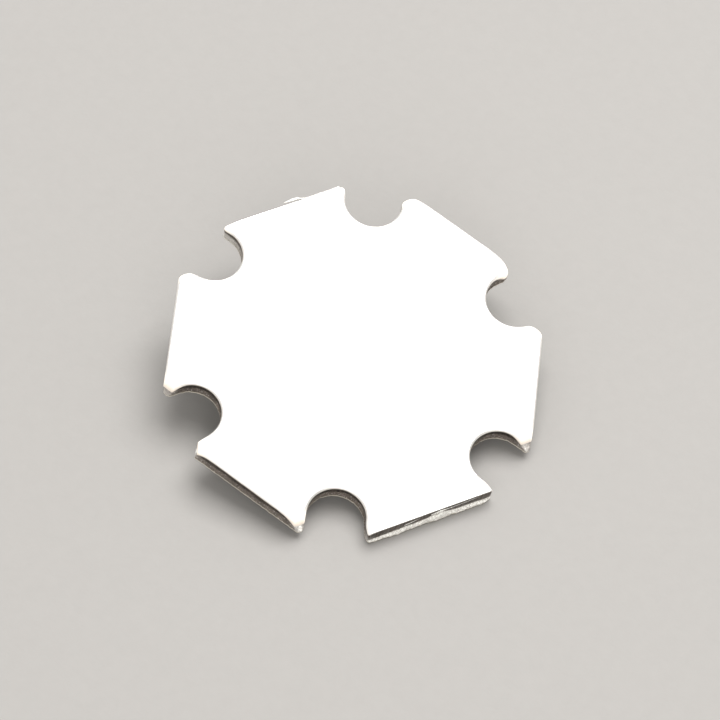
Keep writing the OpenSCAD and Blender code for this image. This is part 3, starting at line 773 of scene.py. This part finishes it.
def aluminium_material(finishes):
    """Mill-finished aluminium sheet, punched: a bright satin face with fine rolling lines and a
    painted warm reflection on its pulled-down tips, a smeared band on the sheared walls whose
    dark brown is a painted dark reflection, dull broken metal below it, partly darkened by
    painted reflection too, and bright metal where a side was torn off."""
    made, tree = new_material("mill_finished_aluminium_sheet")
    place = board_coordinates(tree)
    nodes = {
        name: add_node(tree, "ShaderNodeAttribute", {}, "Fac", attribute_name=name)
        for name in PLATE_VALUES
    }
    # Rolling lines run along X, and the punch drags streaks down the walls
    for name, scale in (("along", (0.02, 1.0, 1.0)), ("down", (1.0, 1.0, 0.12))):
        nodes[name] = add_node(tree, "ShaderNodeMapping", {"Vector": place, "Scale": scale})
    add_rows(
        tree,
        nodes,
        "ShaderNodeTexNoise",
        ("Vector", "Scale", "Detail", "Roughness"),
        (
            # 0.05 mm apart and some millimetres long
            ("rolling", "along", noise_scale(0.05), 3.0, 0.6),
            ("clouds", place, noise_scale(2.5), 2.0, 0.5),
            # A tenth of a millimetre apart, and broken grains of that size
            ("drag", "down", noise_scale(0.1), 3.0, 0.65),
            ("grains", place, noise_scale(0.09), 4.0, 0.7),
            ("specks", place, noise_scale(0.08), 1.0, 0.5),
            # Where the punch dragged more or less metal along
            ("drags", place, noise_scale(0.6), 2.0, 0.6),
        ),
    )
    damage = {"Value": nodes["torn"], "Value_001": nodes["fresh"]}
    nodes["damage"] = add_node(tree, "ShaderNodeMath", damage)
    add_rows(
        tree,
        nodes,
        "ShaderNodeMapRange",
        ("Value", "From Min", "From Max", "To Min", "To Max"),
        (
            ("streaks", "drag", 0.36, 0.64, 0.0, 1.0),
            ("crystals", "grains", 0.36, 0.64, 0.0, 1.0),
            ("glints", "specks", 0.64, 0.74, 0.0, 1.0),
            ("patches", "drags", 0.36, 0.64, 0.0, 1.0),
            ("lines", "rolling", 0.35, 0.65, 0.0, 1.0),
            # How far the tips' painted warm reflection reaches over the face
            ("on_tip", "pulled", 0.0, 0.45, 0.0, 1.0),
            # Below a pulled-down tip the wall is stretched smooth; there the band's painted dark
            # reflection gives way to the tips' painted warm highlight
            ("below_tip", "pulled", 0.3, 0.7, 0.0, 0.7),
            ("on_wall", "wall", 0.47, 0.53, 0.0, 1.0),
            # Pulled metal is stretched matt, like orange peel
            ("peel", "pulled", 0.02, 0.2, 0.0, 1.0),
            ("satin", "rolling", 0.0, 1.0, 0.34, 0.44),
            ("wall_rough", "damage", 0.0, 2.0, 0.34, 0.85),
            ("face_relief", "rolling", 0.0, 1.0, 0.0, 0.08),
        ),
    )
    sheet, pulled, burnish = finishes.aluminium, finishes.pulled, finishes.burnish
    broken, torn = finishes.broken, finishes.torn
    add_rows(
        tree,
        nodes,
        "ShaderNodeMix",
        ("Factor_Float", "A_Color", "B_Color"),
        (
            ("grey", "clouds", shade(sheet, 0.95), shade(sheet, 1.02)),
            ("lit", "clouds", shade(sheet, 0.99), shade(sheet, 1.04)),
            ("flat", "lines", "grey", "lit"),
            # On the pulled-down tips the face takes the painted warm reflection
            ("face", "on_tip", "flat", shade(pulled)),
            # The sheared band in its painted dark reflection, streaked and patched at random
            ("darker", "streaks", shade(burnish, 0.45), shade(burnish)),
            ("lighter", "streaks", shade(burnish, 0.6), shade(burnish, 1.8)),
            ("sheared", "patches", "darker", "lighter"),
            # Below the tips the band takes the tips' painted warm highlight
            ("stretched", "below_tip", "sheared", shade(pulled)),
            # The broken band, its colour partly a painted dark reflection, grained at random
            ("duller", "crystals", shade(broken, 0.35), shade(broken, 0.95)),
            ("paler", "crystals", shade(broken, 0.55), shade(broken, 1.35)),
            ("broken", "patches", "duller", "paler"),
            ("specked", "glints", "broken", shade(torn)),
            ("bright", "crystals", shade(torn, 0.72), shade(torn, 1.2)),
            ("plain_edge", "torn", "stretched", "specked"),
            ("edge", "fresh", "plain_edge", "bright"),
            ("colour", "on_wall", "face", "edge"),
        ),
        "Result_Color",
        data_type="RGBA",
    )
    add_rows(
        tree,
        nodes,
        "ShaderNodeMix",
        ("Factor_Float", "A_Float", "B_Float"),
        (
            ("face_rough", "peel", "satin", 0.95),
            ("rough", "on_wall", "face_rough", "wall_rough"),
            ("wall_relief", "torn", "streaks", "crystals"),
            ("relief", "on_wall", "face_relief", "wall_relief"),
        ),
    )
    bump = add_node(tree, "ShaderNodeBump", {"Distance": 0.024 * MM, "Height": nodes["relief"]})
    inputs = {"Base Color": nodes["colour"], "Roughness": nodes["rough"], "Normal": bump}
    set_surface(tree, inputs | {"Metallic": 1.0})
    return made


def silicone_material(finishes):
    """Clear optical silicone, compression moulded: water clear, soft gloss, very faint haze."""
    made, tree = new_material("clear_moulded_silicone")
    place = board_coordinates(tree)
    noise = {"Vector": place, "Scale": noise_scale(0.3), "Detail": 3.0}
    haze = add_node(tree, "ShaderNodeTexNoise", noise)
    rough = {"Value": haze, "To Min": 0.02, "To Max": 0.07}
    relief = {"Strength": 0.5, "Distance": 0.002 * MM, "Height": haze}
    inputs = {
        "Base Color": shade(finishes.silicone),
        "Roughness": add_node(tree, "ShaderNodeMapRange", rough),
        "Normal": add_node(tree, "ShaderNodeBump", relief),
        "Transmission Weight": 1.0,
        "IOR": 1.41,
    }
    set_surface(tree, inputs)
    return made


def paper_material(finishes):
    """Matt pale paper of the floor: soft fibres of about half a millimetre."""
    made, tree = new_material("matt_pale_paper")
    place = add_node(tree, "ShaderNodeTexCoord", {}, "Object")
    noise = {"Vector": place, "Scale": noise_scale(0.6), "Detail": 4.0}
    fibre = add_node(tree, "ShaderNodeTexNoise", noise)
    dark, light = shade(finishes.floor, 0.97), shade(finishes.floor, 1.03)
    tone = {"Factor_Float": fibre, "A_Color": dark, "B_Color": light}
    inputs = {
        "Base Color": add_node(tree, "ShaderNodeMix", tone, "Result_Color", data_type="RGBA"),
        "Normal": add_node(tree, "ShaderNodeBump", {"Distance": 0.02 * MM, "Height": fibre}),
        "Roughness": 0.85,
    }
    set_surface(tree, inputs)
    return made


# Each plain finish, under the name of its colour: the material's name, metallic, roughness, grain
# in millimetres, contrast of the grain, relief in millimetres, and the IOR if it isn't a metal
PLAIN_FINISHES = {
    # Dull, fine pale grains in a tan resin
    "dielectric": ("ceramic_filled_epoxy", 0.0, 0.6, 0.05, 0.25, 0.004, 1.55),
    # Satin, slightly mottled by the etch
    "copper": ("etched_copper_foil", 1.0, 0.38, 0.2, 0.12, 0.002),
    # Screen-printed and glossy, with a faint orange peel of a tenth of a millimetre
    "mask": ("white_solder_mask", 0.0, 0.28, 0.35, 0.03, 0.004, 1.52),
    # Dull, a little uneven
    "ink": ("black_screen_ink", 0.0, 0.55, 0.15, 0.2, 0.003, 1.5),
    # Bright, with soft frost between its grains
    "solder": ("reflowed_tin_solder", 1.0, 0.26, 0.12, 0.12, 0.006),
    # Thin gold over nickel: satin
    "gold": ("gold_plating", 1.0, 0.24, 0.06, 0.08, 0.0015),
    # Thin silver over nickel: pale satin
    "silver": ("silver_plated_land", 1.0, 0.3, 0.08, 0.06, 0.002),
    # Matt white, grains of some hundredths of a millimetre
    "ceramic": ("fired_alumina", 0.0, 0.5, 0.05, 0.05, 0.003, 1.76),
    # Grey, glossy and half metallic
    "chip": ("polished_led_chip", 0.4, 0.15, 0.1, 0.08, 0.001, 2.4),
    # Matt yellow. Its grains of about ten micrometres are drawn twice as coarse to show.
    "phosphor": ("phosphor_in_silicone", 0.0, 0.5, 0.025, 0.18, 0.006, 1.45),
    # Dark grey, nearly a mirror
    "silicon": ("polished_silicon", 0.3, 0.12, 0.1, 0.06, 0.001, 3.4),
}
OTHER_FINISHES = {
    "aluminium": aluminium_material,
    "silicone": silicone_material,
    "paper": paper_material,
}
MATERIALS = {}


def material(finish):
    """The material of one finish, made once."""
    if finish not in MATERIALS:
        finishes = bpy.context.scene.star_finishes
        if finish in OTHER_FINISHES:
            MATERIALS[finish] = OTHER_FINISHES[finish](finishes)
        else:
            name, *values = PLAIN_FINISHES[finish]
            MATERIALS[finish] = plain_material(name, getattr(finishes, finish), *values)
    return MATERIALS[finish]


# Operators

# Torn blades along the parted sides: name, side, the seed of their unevenness and their path. Each
# step of it says where it is along the side from the middle, how far out, how deep below the back
# face, and its half width and half height.
BLADES = (
    # Rooted in the rear ledge, its pointed end free and further out
    ("rear_sliver", REAR_SIDE, 51, (
        (-1.75, 0.04, 0.34, 0.05, 0.12), (-1.4, 0.1, 0.3, 0.05, 0.1),
        (-1.12, 0.16, 0.26, 0.045, 0.07), (-0.93, 0.24, 0.23, 0.075, 0.06),
        (-0.75, 0.25, 0.21, 0.08, 0.05), (-0.58, 0.25, 0.2, 0.07, 0.045),
        (-0.35, 0.235, 0.18, 0.045, 0.03), (-0.1, 0.23, 0.17, 0.004, 0.004),
    )),
    # Along the front side's dark band, above its ledge
    ("front_splinter_a", FRONT_SIDE, 52, (
        (0.05, 0.0, 0.36, 0.02, 0.05), (0.3, 0.03, 0.26, 0.03, 0.05),
        (0.55, 0.04, 0.16, 0.03, 0.04), (0.85, 0.03, 0.2, 0.025, 0.05),
        (1.1, 0.0, 0.3, 0.01, 0.02),
    )),
    ("front_splinter_b", FRONT_SIDE, 53, (
        (0.95, 0.0, 0.3, 0.02, 0.02), (1.3, 0.015, 0.27, 0.015, 0.02),
        (1.9, 0.015, 0.25, 0.012, 0.015), (2.5, 0.01, 0.22, 0.01, 0.012),
        (2.85, 0.0, 0.2, 0.004, 0.004),
    )),
    ("front_splinter_c", FRONT_SIDE, 54, (
        (-1.5, 0.0, 0.48, 0.02, 0.03), (-1.25, 0.02, 0.38, 0.02, 0.03),
        (-0.9, 0.015, 0.3, 0.014, 0.02), (-0.6, 0.0, 0.26, 0.004, 0.004),
    )),
)


class STARLED_OT_plate(bpy.types.Operator):
    """Make the punched aluminium plate with its rolled, sheared and torn edges, and the layer
    under it"""

    bl_idname = "starled.plate"
    bl_label = "Star Plate"

    def execute(self, context):
        sizes = context.scene.star_plate
        star = StarOutline(sizes)
        loops, depths, *values = zip(*plate_loops(star, sizes))
        points, faces = closed_stack(loops, depths)
        mesh = board_mesh("star_plate", points, faces, 48)
        # The flat of the face keeps its own normal up to its rim
        for corner in mesh.polygons[0].loop_indices:
            mesh.edges[mesh.loops[corner].edge_index].use_edge_sharp = True
        set_plate_values(mesh, *(np.concatenate(column) for column in values))
        add_piece("star_plate", mesh, "aluminium_sheet", "base_plate", finish="aluminium")
        self.skin(star, loops[-1], sizes)
        for blade in BLADES:
            self.blade(star, *blade)
        return {"FINISHED"}

    def skin(self, star, lower_edge, sizes):
        """The insulating layer, cut with the plate, so it follows the plate's lower edge."""
        base_t, thick = sizes.base_t / MM, sizes.dielectric_t / MM
        loops, depths = [], []
        # Share of its thickness, and how far the layer draws in there
        for share, shrink in ((0, 0.018), (0.15, 0.006), (0.5, 0.01), (0.85, 0.008), (1, 0.02)):
            level = np.full(LOOP_POINTS, share * thick)
            ragged = 0.006 * wall_noise(star.turn, level, 900, 0.02, 41)
            loops.append(lower_edge - star.bottom_way * (shrink + ragged)[:, None])
            depths.append(base_t + level)
        points, faces = closed_stack(loops, depths)
        mesh = board_mesh("dielectric_sheet", points, faces, 60)
        add_piece("dielectric_sheet", mesh, "dielectric", "dielectric_layer", finish="dielectric")

    def blade(self, star, name, side, seed, path):
        """A torn blade along a side, a closed tube of rings across its path."""
        step = np.linspace(0, len(path) - 1, 6 * len(path))
        along, out, deep, half_w, half_h = (
            np.interp(step, range(len(path)), column) for column in zip(*path)
        )
        uneven = np.random.default_rng(seed).uniform(0.82, 1.18, (2, len(step)))
        half_w, half_h = half_w * uneven[0], half_h * uneven[1]
        way = way_at(HALF_SECTOR + SECTOR * side)
        forward = np.array([-way[1], way[0]])
        around = np.linspace(0, 2 * math.pi, 13)[:-1]
        loops, depths = [], []
        for k in range(len(step)):
            stand = star.side_at[side] + out[k] + half_w[k] * np.cos(around)
            loops.append(forward * along[k] + np.outer(stand, way))
            depths.append(deep[k] - half_h[k] * np.sin(around))
        points, faces = closed_stack(loops, depths)
        mesh = board_mesh(name, points, faces, 50)
        set_plate_values(mesh, 1.0, 1.0, 1.0, 0.0)
        add_piece(name, mesh, "aluminium_sheet", finish="aluminium")


class STARLED_OT_flakes(bpy.types.Operator):
    """Scatter small torn flakes over the broken band of the walls"""

    bl_idname = "starled.flakes"
    bl_label = "Torn Flakes"

    def execute(self, context):
        sizes, stage = context.scene.star_plate, context.scene.star_stage
        # The lower half of the walls, without their last two loops
        rows = plate_loops(StarOutline(sizes), sizes)[-13:-2]
        loops, depths, _, torn, _, _ = zip(*rows)
        points, faces = closed_stack(loops, depths)
        torn = np.concatenate(torn)
        faces = [f for f in faces if len(f) == 4 and torn[f].min() > 0.6]
        values = {
            "Density": stage.flakes / MM**2,
            "Smallest": 0.012 * MM,
            "Largest": 0.034 * MM,
            "Material": material("aluminium"),
        }
        field = board_mesh("flake_field", points, faces)
        mesh = made_by_tree("torn_flakes", field, self.tree(), values)
        set_plate_values(mesh, 1.0, 1.0, 0.6, 0.0)
        add_piece("torn_flakes", mesh, "aluminium_sheet")
        return {"FINISHED"}

    def tree(self):
        """Points scattered over the torn band, a flattened grain on each, turned at random."""
        tree, given = new_tree("torn_flakes", density="Float", smallest="Float", largest="Float")
        scatter = add_node(
            tree,
            "GeometryNodeDistributePointsOnFaces",
            {"Mesh": given["Geometry"], "Density": given["Density"], "Seed": 7},
        )
        grain = add_node(tree, "GeometryNodeMeshIcoSphere", {"Radius": 1.0, "Subdivisions": 2})
        flat = {"Geometry": grain, "Scale": (1.0, 0.6, 0.35)}
        spin = {"Min": (0.0, 0.0, 0.0), "Max": (6.28, 6.28, 6.28), "Seed": 8}
        size = {"Min_001": given["Smallest"], "Max_001": given["Largest"], "Seed": 9}
        drawn = "FunctionNodeRandomValue"
        flakes = {
            "Points": scatter,
            "Instance": add_node(tree, "GeometryNodeTransform", flat),
            "Rotation": add_node(tree, drawn, spin, "Value", data_type="FLOAT_VECTOR"),
            "Scale": add_node(tree, drawn, size, "Value_001", data_type="FLOAT"),
        }
        return end_tree(tree, given, add_node(tree, "GeometryNodeInstanceOnPoints", flakes))


class STARLED_OT_circuit(bpy.types.Operator):
    """Finish the copper, the solder mask and the printed signs under the plate"""

    bl_idname = "starled.circuit"
    bl_label = "Circuit Side"

    def execute(self, context):
        paint_nodes("copper", "copper_anode", "copper_cathode", "copper_thermal")
        add_softened("white_mask", "solder_mask", "solder_mask", "mask", 0.012)
        add_softened("polarity_signs", "polarity_print", "printed_ink", "ink", 0.006)
        return {"FINISHED"}


class STARLED_OT_wire_pads(bpy.types.Operator):
    """Make the four tinned wire pads with their solder crowns"""

    bl_idname = "starled.wire_pads"
    bl_label = "Wire Pads"

    def execute(self, context):
        points, faces = self.crown(context.scene.star_package)
        crown = plain_mesh("pad_crown", points, faces)
        tree = self.tree()
        for side, middle in (("anode", math.pi), ("cathode", 2 * math.pi)):
            values = {
                "Reach": PAD_REACH,
                "First Turn": middle - HALF_SECTOR,
                "Second Turn": middle + HALF_SECTOR,
                "Material": material("solder"),
            }
            mesh = made_by_tree(f"tinned_pads_{side}", crown.copy(), tree, values)
            mesh.transform(BOARD_TO_WORLD)
            add_piece(f"tinned_pads_{side}", mesh, "solder", f"wire_pads_{side}")
        return {"FINISHED"}

    def crown(self, sizes):
        """Points and faces of one pad about the origin, in millimetres: a rounded rectangle whose
        solder climbs from a thin wetted edge to an uneven crown, towards -Z."""
        corner, high = sizes.pad_r / MM, MASK_FACE + sizes.crown_h / MM
        straight = np.array([sizes.pad_w / MM / 2 - corner, sizes.pad_l / MM / 2 - corner])
        around = np.linspace(0, 2 * math.pi, 97)[:-1]
        circle = np.column_stack([np.cos(around), np.sin(around)])
        rim = np.sign(circle) * straight * (np.abs(circle) > 1e-9) + corner * circle
        wave = 0.02 * np.sin(2 * around + 0.7) + 0.012 * np.sin(5 * around + 2.1)
        # How wide each loop is, and how high up the crown it lies
        shares = [1.0, 1.0, 0.985, 0.95, 0.88, 0.78, 0.64, 0.48, 0.32, 0.16]
        levels = [0.0, 0.2, 0.34, 0.48, 0.62, 0.76, 0.87, 0.95, 0.985, 1.0]
        loops = [rim * share for share in shares]
        depths = [PAD_FOOT + (high - PAD_FOOT) * x * (1 + wave * (1 - x)) for x in levels]
        return closed_stack(loops, depths, high)

    def tree(self):
        """The pad placed twice at one distance from the middle, each turned to face it."""
        tree, given = new_tree(
            "pads_about_centre", reach="Float", first_turn="Float", second_turn="Float"
        )
        offset = add_node(tree, "ShaderNodeCombineXYZ", {"X": given["Reach"]})
        moved = {"Geometry": given["Geometry"], "Translation": offset}
        pads = {
            "Points": add_node(tree, "GeometryNodePoints", {"Count": 1}),
            "Instance": add_node(tree, "GeometryNodeTransform", moved),
        }
        placed = []
        for label in ("First Turn", "Second Turn"):
            pads["Rotation"] = add_node(tree, "ShaderNodeCombineXYZ", {"Z": given[label]})
            placed.append(add_node(tree, "GeometryNodeInstanceOnPoints", pads))
        join = add_node(tree, "GeometryNodeJoinGeometry", {"Geometry": placed})
        return end_tree(tree, given, join)


class STARLED_OT_package(bpy.types.Operator):
    """Finish the ceramic package, its solder, pads, lands and filled holes"""

    bl_idname = "starled.package"
    bl_label = "LED Package"

    def execute(self, context):
        edge = context.scene.star_package.corner_r / MM
        add_softened("ceramic_carrier", "ceramic_body", "ceramic", "ceramic", edge * 0.7)
        for pole in ("anode", "cathode", "thermal"):
            seam, joint = f"solder_seam_{pole}", f"solder_joint_{pole}"
            add_softened(seam, joint, "solder", "solder", 0.02, 3)
            paint_nodes("gold", f"package_pad_{pole}")
        for pole in ("anode", "cathode"):
            paint_nodes("copper", f"vias_{pole}")
            add_softened(f"plated_land_{pole}", f"land_{pole}", "silver_lands", "silver", 0.006)
        return {"FINISHED"}


class STARLED_OT_chip(bpy.types.Operator):
    """Finish the chip, its phosphor coat and the protection chip"""

    bl_idname = "starled.chip"
    bl_label = "Chips"

    def execute(self, context):
        paint_nodes("chip", "led_die")
        paint_nodes("gold", "die_attach", "die_bond_pads")
        add_softened("phosphor_layer", "phosphor_coat", "phosphor", "phosphor", 0.018, 3)
        add_softened("protection_chip", "esd_diode", "silicon_chip", "silicon", 0.006)
        return {"FINISHED"}


class STARLED_OT_wires(bpy.types.Operator):
    """Run the gold bond wires with a squashed ball at the first end and a wedge at the second"""

    bl_idname = "starled.wires"
    bl_label = "Bond Wires"

    def execute(self, context):
        sizes = context.scene.star_package
        tree = self.tree()
        # The rows of the wires, and where each starts
        for name, node, rows, start in (
            ("gold_wires", "bond_wires", (-0.25, 0.25), (0.4, 0.0, -CHIP_FACE)),
            ("gold_wire_esd", "esd_wire", (-0.91,), (-0.125, 0.0, -DIODE_FACE)),
        ):
            values = {
                "First Foot": start,
                "Second Foot": (1.345, 0.0, -LAND_FACE),
                "Loop Height": sizes.wire_loop_h / MM,
                "Wire Radius": sizes.wire_d / MM / 2,
                "Material": material("gold"),
            }
            base = plain_mesh(name, [(0.0, row, 0.0) for row in rows], [])
            mesh = made_by_tree(name, base, tree, values)
            mesh.transform(BOARD_TO_WORLD)
            add_piece(name, mesh, "gold_plating", node)
        return {"FINISHED"}

    def tree(self):
        """One wire on each point: it rises steeply from its ball, bends over and runs down to its
        wedge."""
        tree, given = new_tree(
            "bonded_wire",
            first_foot="Vector",
            second_foot="Vector",
            loop_height="Float",
            wire_radius="Float",
        )
        # The way of the wire's handle at each end, in heights of the loop, and how many wire radii
        # long, wide and high the rounded foot there is
        handles, feet = [], []
        for label, way, shape in (
            ("First Foot", (0.05, 0.0, -1.35), (2.1, 2.1, 0.9)),
            ("Second Foot", (-1.0, 0.0, -1.15), (2.4, 1.6, 0.5)),
        ):
            way = {"Vector": way, "Scale": given["Loop Height"]}
            step = add_node(tree, "ShaderNodeVectorMath", way, operation="SCALE")
            handle = {"Vector": given[label], "Vector_001": step}
            handles.append(add_node(tree, "ShaderNodeVectorMath", handle))
            ball = {"Segments": 20, "Rings": 10, "Radius": given["Wire Radius"]}
            ball = add_node(tree, "GeometryNodeMeshUVSphere", ball)
            foot = {"Geometry": ball, "Translation": given[label], "Scale": shape}
            feet.append(add_node(tree, "GeometryNodeTransform", foot))
        run = {
            "Resolution": 40,
            "Start": given["First Foot"],
            "Start Handle": handles[0],
            "End Handle": handles[1],
            "End": given["Second Foot"],
        }
        ring = {"Resolution": 12, "Radius": given["Wire Radius"]}
        wire = {
            "Curve": add_node(tree, "GeometryNodeCurvePrimitiveBezierSegment", run),
            "Profile Curve": add_node(tree, "GeometryNodeCurvePrimitiveCircle", ring),
            "Fill Caps": True,
        }
        parts = [add_node(tree, "GeometryNodeCurveToMesh", wire), *feet]
        join = add_node(tree, "GeometryNodeJoinGeometry", {"Geometry": parts})
        placed = {"Points": given["Geometry"], "Instance": join}
        return end_tree(tree, given, add_node(tree, "GeometryNodeInstanceOnPoints", placed))


class STARLED_OT_lens(bpy.types.Operator):
    """Mould the clear silicone sheet and dome over the package"""

    bl_idname = "starled.lens"
    bl_label = "Silicone Lens"

    def execute(self, context):
        sizes = context.scene.star_package
        radius, edge, fillet = sizes.lens_r / MM, sizes.corner_r / MM, sizes.fillet_r / MM
        sheet = CARRIER_FACE + sizes.flange_t / MM
        around = np.linspace(0, 2 * math.pi, 161)[:-1]
        circle = np.column_stack([np.cos(around), np.sin(around)])
        rim, outward = self.outline(circle, half=sizes.width / MM / 2, corner=0.1)
        # Loops and depths from the dome's top up, first the dome and its fillet
        rows = []
        for lift in np.radians(np.linspace(88, 6, 34)):
            rows.append((circle * radius * math.cos(lift), sheet + radius * math.sin(lift)))
        for bend in np.radians([0, 22, 45, 68, 90]):
            out = radius + fillet * (1 - math.cos(bend))
            rows.append((circle * out, sheet + fillet * (1 - math.sin(bend))))
        # Then the sheet, its broken edge and its wall, which laps a little over the body's face
        for share in (0.4, 0.8):
            inner = circle * (radius + fillet) * (1 - share)
            rows.append((inner + (rim - outward * edge) * share, sheet))
        for bend in np.radians([0, 30, 60, 90]):
            back = edge * (1 - math.cos(bend))
            rows.append((rim - outward * edge * (1 - math.sin(bend)), sheet - back))
        rows.append((rim, CARRIER_FACE + 0.03))
        rows.append((rim - outward * 0.01, CARRIER_FACE - 0.008))
        loops, depths = zip(*rows[::-1])
        points, faces = closed_stack(loops, depths, sheet + radius)
        mesh = board_mesh("silicone_lens", points, faces, 60)
        add_piece("silicone_lens", mesh, "clear_silicone", "lens", finish="silicone")
        return {"FINISHED"}

    def outline(self, circle, half, corner):
        """A square with rounded corners and the way out at each of its points."""
        inner = half - corner
        square = circle * (half / np.max(np.abs(circle), axis=1))[:, None]
        clipped = np.clip(square, -inner, inner)
        outward = square - clipped
        outward /= np.maximum(np.linalg.norm(outward, axis=1), 1e-9)[:, None]
        return clipped + outward * corner, outward


# The camera as fitted to the outline of the star in the photograph, in the board's axes: its turn
# as an axis times an angle, its shift in millimetres, and its focal length and frame in pixels
CAMERA_TURN = Vector((2.6529, -0.5214, 0.3006))
CAMERA_SHIFT = Vector((-0.2300, -0.3026, 213.78))
FOCAL_PIXELS, FRAME_PIXELS, SENSOR_MM = 3968, 720, 36


class STARLED_OT_stage(bpy.types.Operator):
    """Lay the pale floor, hang the soft lights and set the camera at the photograph's viewing
    angle"""

    bl_idname = "starled.stage"
    bl_label = "Stage"

    def execute(self, context):
        scene = context.scene
        settings = scene.star_stage
        self.floor(settings.floor_r)
        # The key light is where the back face mirrors the camera, so the satin metal shines evenly
        for name, way, distance, size, power in (
            ("key_softbox", (0.2845, 0.3583, 0.8892), 0.42, 0.34, settings.key_power),
            ("fill_softbox", (-0.45, -0.75, 0.75), 0.6, 0.5, settings.fill_power),
        ):
            self.softbox(name, way, distance, size, power)
        world = bpy.data.worlds.new("pale_studio")
        world.use_nodes = True
        back = world.node_tree.nodes["Background"]
        back.inputs["Color"].default_value = hex_colour("#f4f2f0")
        back.inputs["Strength"].default_value = settings.ambient
        scene.world = world
        scene.view_settings.view_transform = "Standard"
        scene.camera = self.camera()
        return {"FINISHED"}

    def floor(self, radius):
        """A round sheet of pale paper that turns up at its far rim."""
        rings, around = 23, 96
        turns = np.linspace(0, 2 * math.pi, around, endpoint=False)
        points = [(0.0, 0.0, FLOOR_Z)]
        faces = [(0, 1 + a, 1 + (a + 1) % around) for a in range(around)]
        for ring in range(rings):
            share = (ring + 1) / rings
            r, rise = radius * share, radius * 0.25 * max(0.0, (share - 0.6) / 0.4) ** 2
            points += [(r * math.cos(a), r * math.sin(a), FLOOR_Z + rise) for a in turns]
        for low in range(1, 1 + (rings - 1) * around, around):
            for a in range(around):
                b = (a + 1) % around
                faces.append((low + a, low + around + a, low + around + b, low + b))
        mesh = bpy.data.meshes.new("paper_floor")
        mesh.from_pydata(points, [], faces)
        mesh.shade_smooth()
        set_material(mesh, "paper")
        floor = bpy.data.objects.new("paper_floor", mesh)
        bpy.context.scene.collection.objects.link(floor)

    def softbox(self, name, way, distance, size, power):
        """A square soft light in a direction of the board's axes, aimed at the board."""
        light = bpy.data.lights.new(name, "AREA")
        light.shape = "SQUARE"
        light.size = size
        light.energy = power
        box = bpy.data.objects.new(name, light)
        place = TIPPED @ (Vector(way).normalized() * distance)
        box.location = place
        box.rotation_euler = (-place).to_track_quat("-Z", "Y").to_euler()
        bpy.context.scene.collection.objects.link(box)

    def camera(self):
        """The camera at the photograph's viewing angle."""
        to_camera = Matrix.Rotation(CAMERA_TURN.length, 4, CAMERA_TURN.normalized())
        right, down, forward = (Vector(to_camera[k][:3]) for k in range(3))
        shift = CAMERA_SHIFT * MM
        place = -(right * shift.x + down * shift.y + forward * shift.z)
        on_board = Matrix((right, -down, -forward)).transposed().to_4x4()
        on_board.translation = place
        data = bpy.data.cameras.new("photo_camera")
        data.sensor_width = SENSOR_MM
        data.lens = FOCAL_PIXELS / FRAME_PIXELS * SENSOR_MM
        data.clip_start, data.clip_end = 0.005, 5
        camera = bpy.data.objects.new("photo_camera", data)
        camera.matrix_world = TIPPED @ on_board
        bpy.context.scene.collection.objects.link(camera)
        return camera


class STARLED_PT_panel(bpy.types.Panel):
    """The pieces of the star board LED"""

    bl_idname = "STARLED_PT_panel"
    bl_label = "Star Board LED"
    bl_space_type = "VIEW_3D"
    bl_region_type = "UI"
    bl_category = "Star Board"

    def draw(self, context):
        for name in GROUPS:
            group, box = getattr(context.scene, name), self.layout.box()
            for key in group.bl_rna.properties.keys():
                if key not in ("rna_type", "name"):
                    box.prop(group, key)
        for operator in OPERATORS:
            self.layout.operator(operator.bl_idname)


OPERATORS = (
    STARLED_OT_plate,
    STARLED_OT_flakes,
    STARLED_OT_circuit,
    STARLED_OT_wire_pads,
    STARLED_OT_package,
    STARLED_OT_chip,
    STARLED_OT_wires,
    STARLED_OT_lens,
    STARLED_OT_stage,
)
GROUPS = {
    "star_plate": StarPlateSizes,
    "star_package": PackageSizes,
    "star_finishes": Finishes,
    "star_stage": StageSettings,
}


def register():
    """Registers the classes and gives every scene their sizes and colours."""
    for cls in (*GROUPS.values(), *OPERATORS, STARLED_PT_panel):
        bpy.utils.register_class(cls)
    for name, group in GROUPS.items():
        setattr(bpy.types.Scene, name, PointerProperty(type=group))


def unregister():
    """Takes them away again."""
    for name in GROUPS:
        delattr(bpy.types.Scene, name)
    for cls in reversed((*GROUPS.values(), *OPERATORS, STARLED_PT_panel)):
        bpy.utils.unregister_class(cls)


def main():
    """Builds every piece in order."""
    register()
    for operator in OPERATORS:
        group, name = operator.bl_idname.split(".")
        getattr(getattr(bpy.ops, group), name)()


if __name__ == "__main__":
    main()
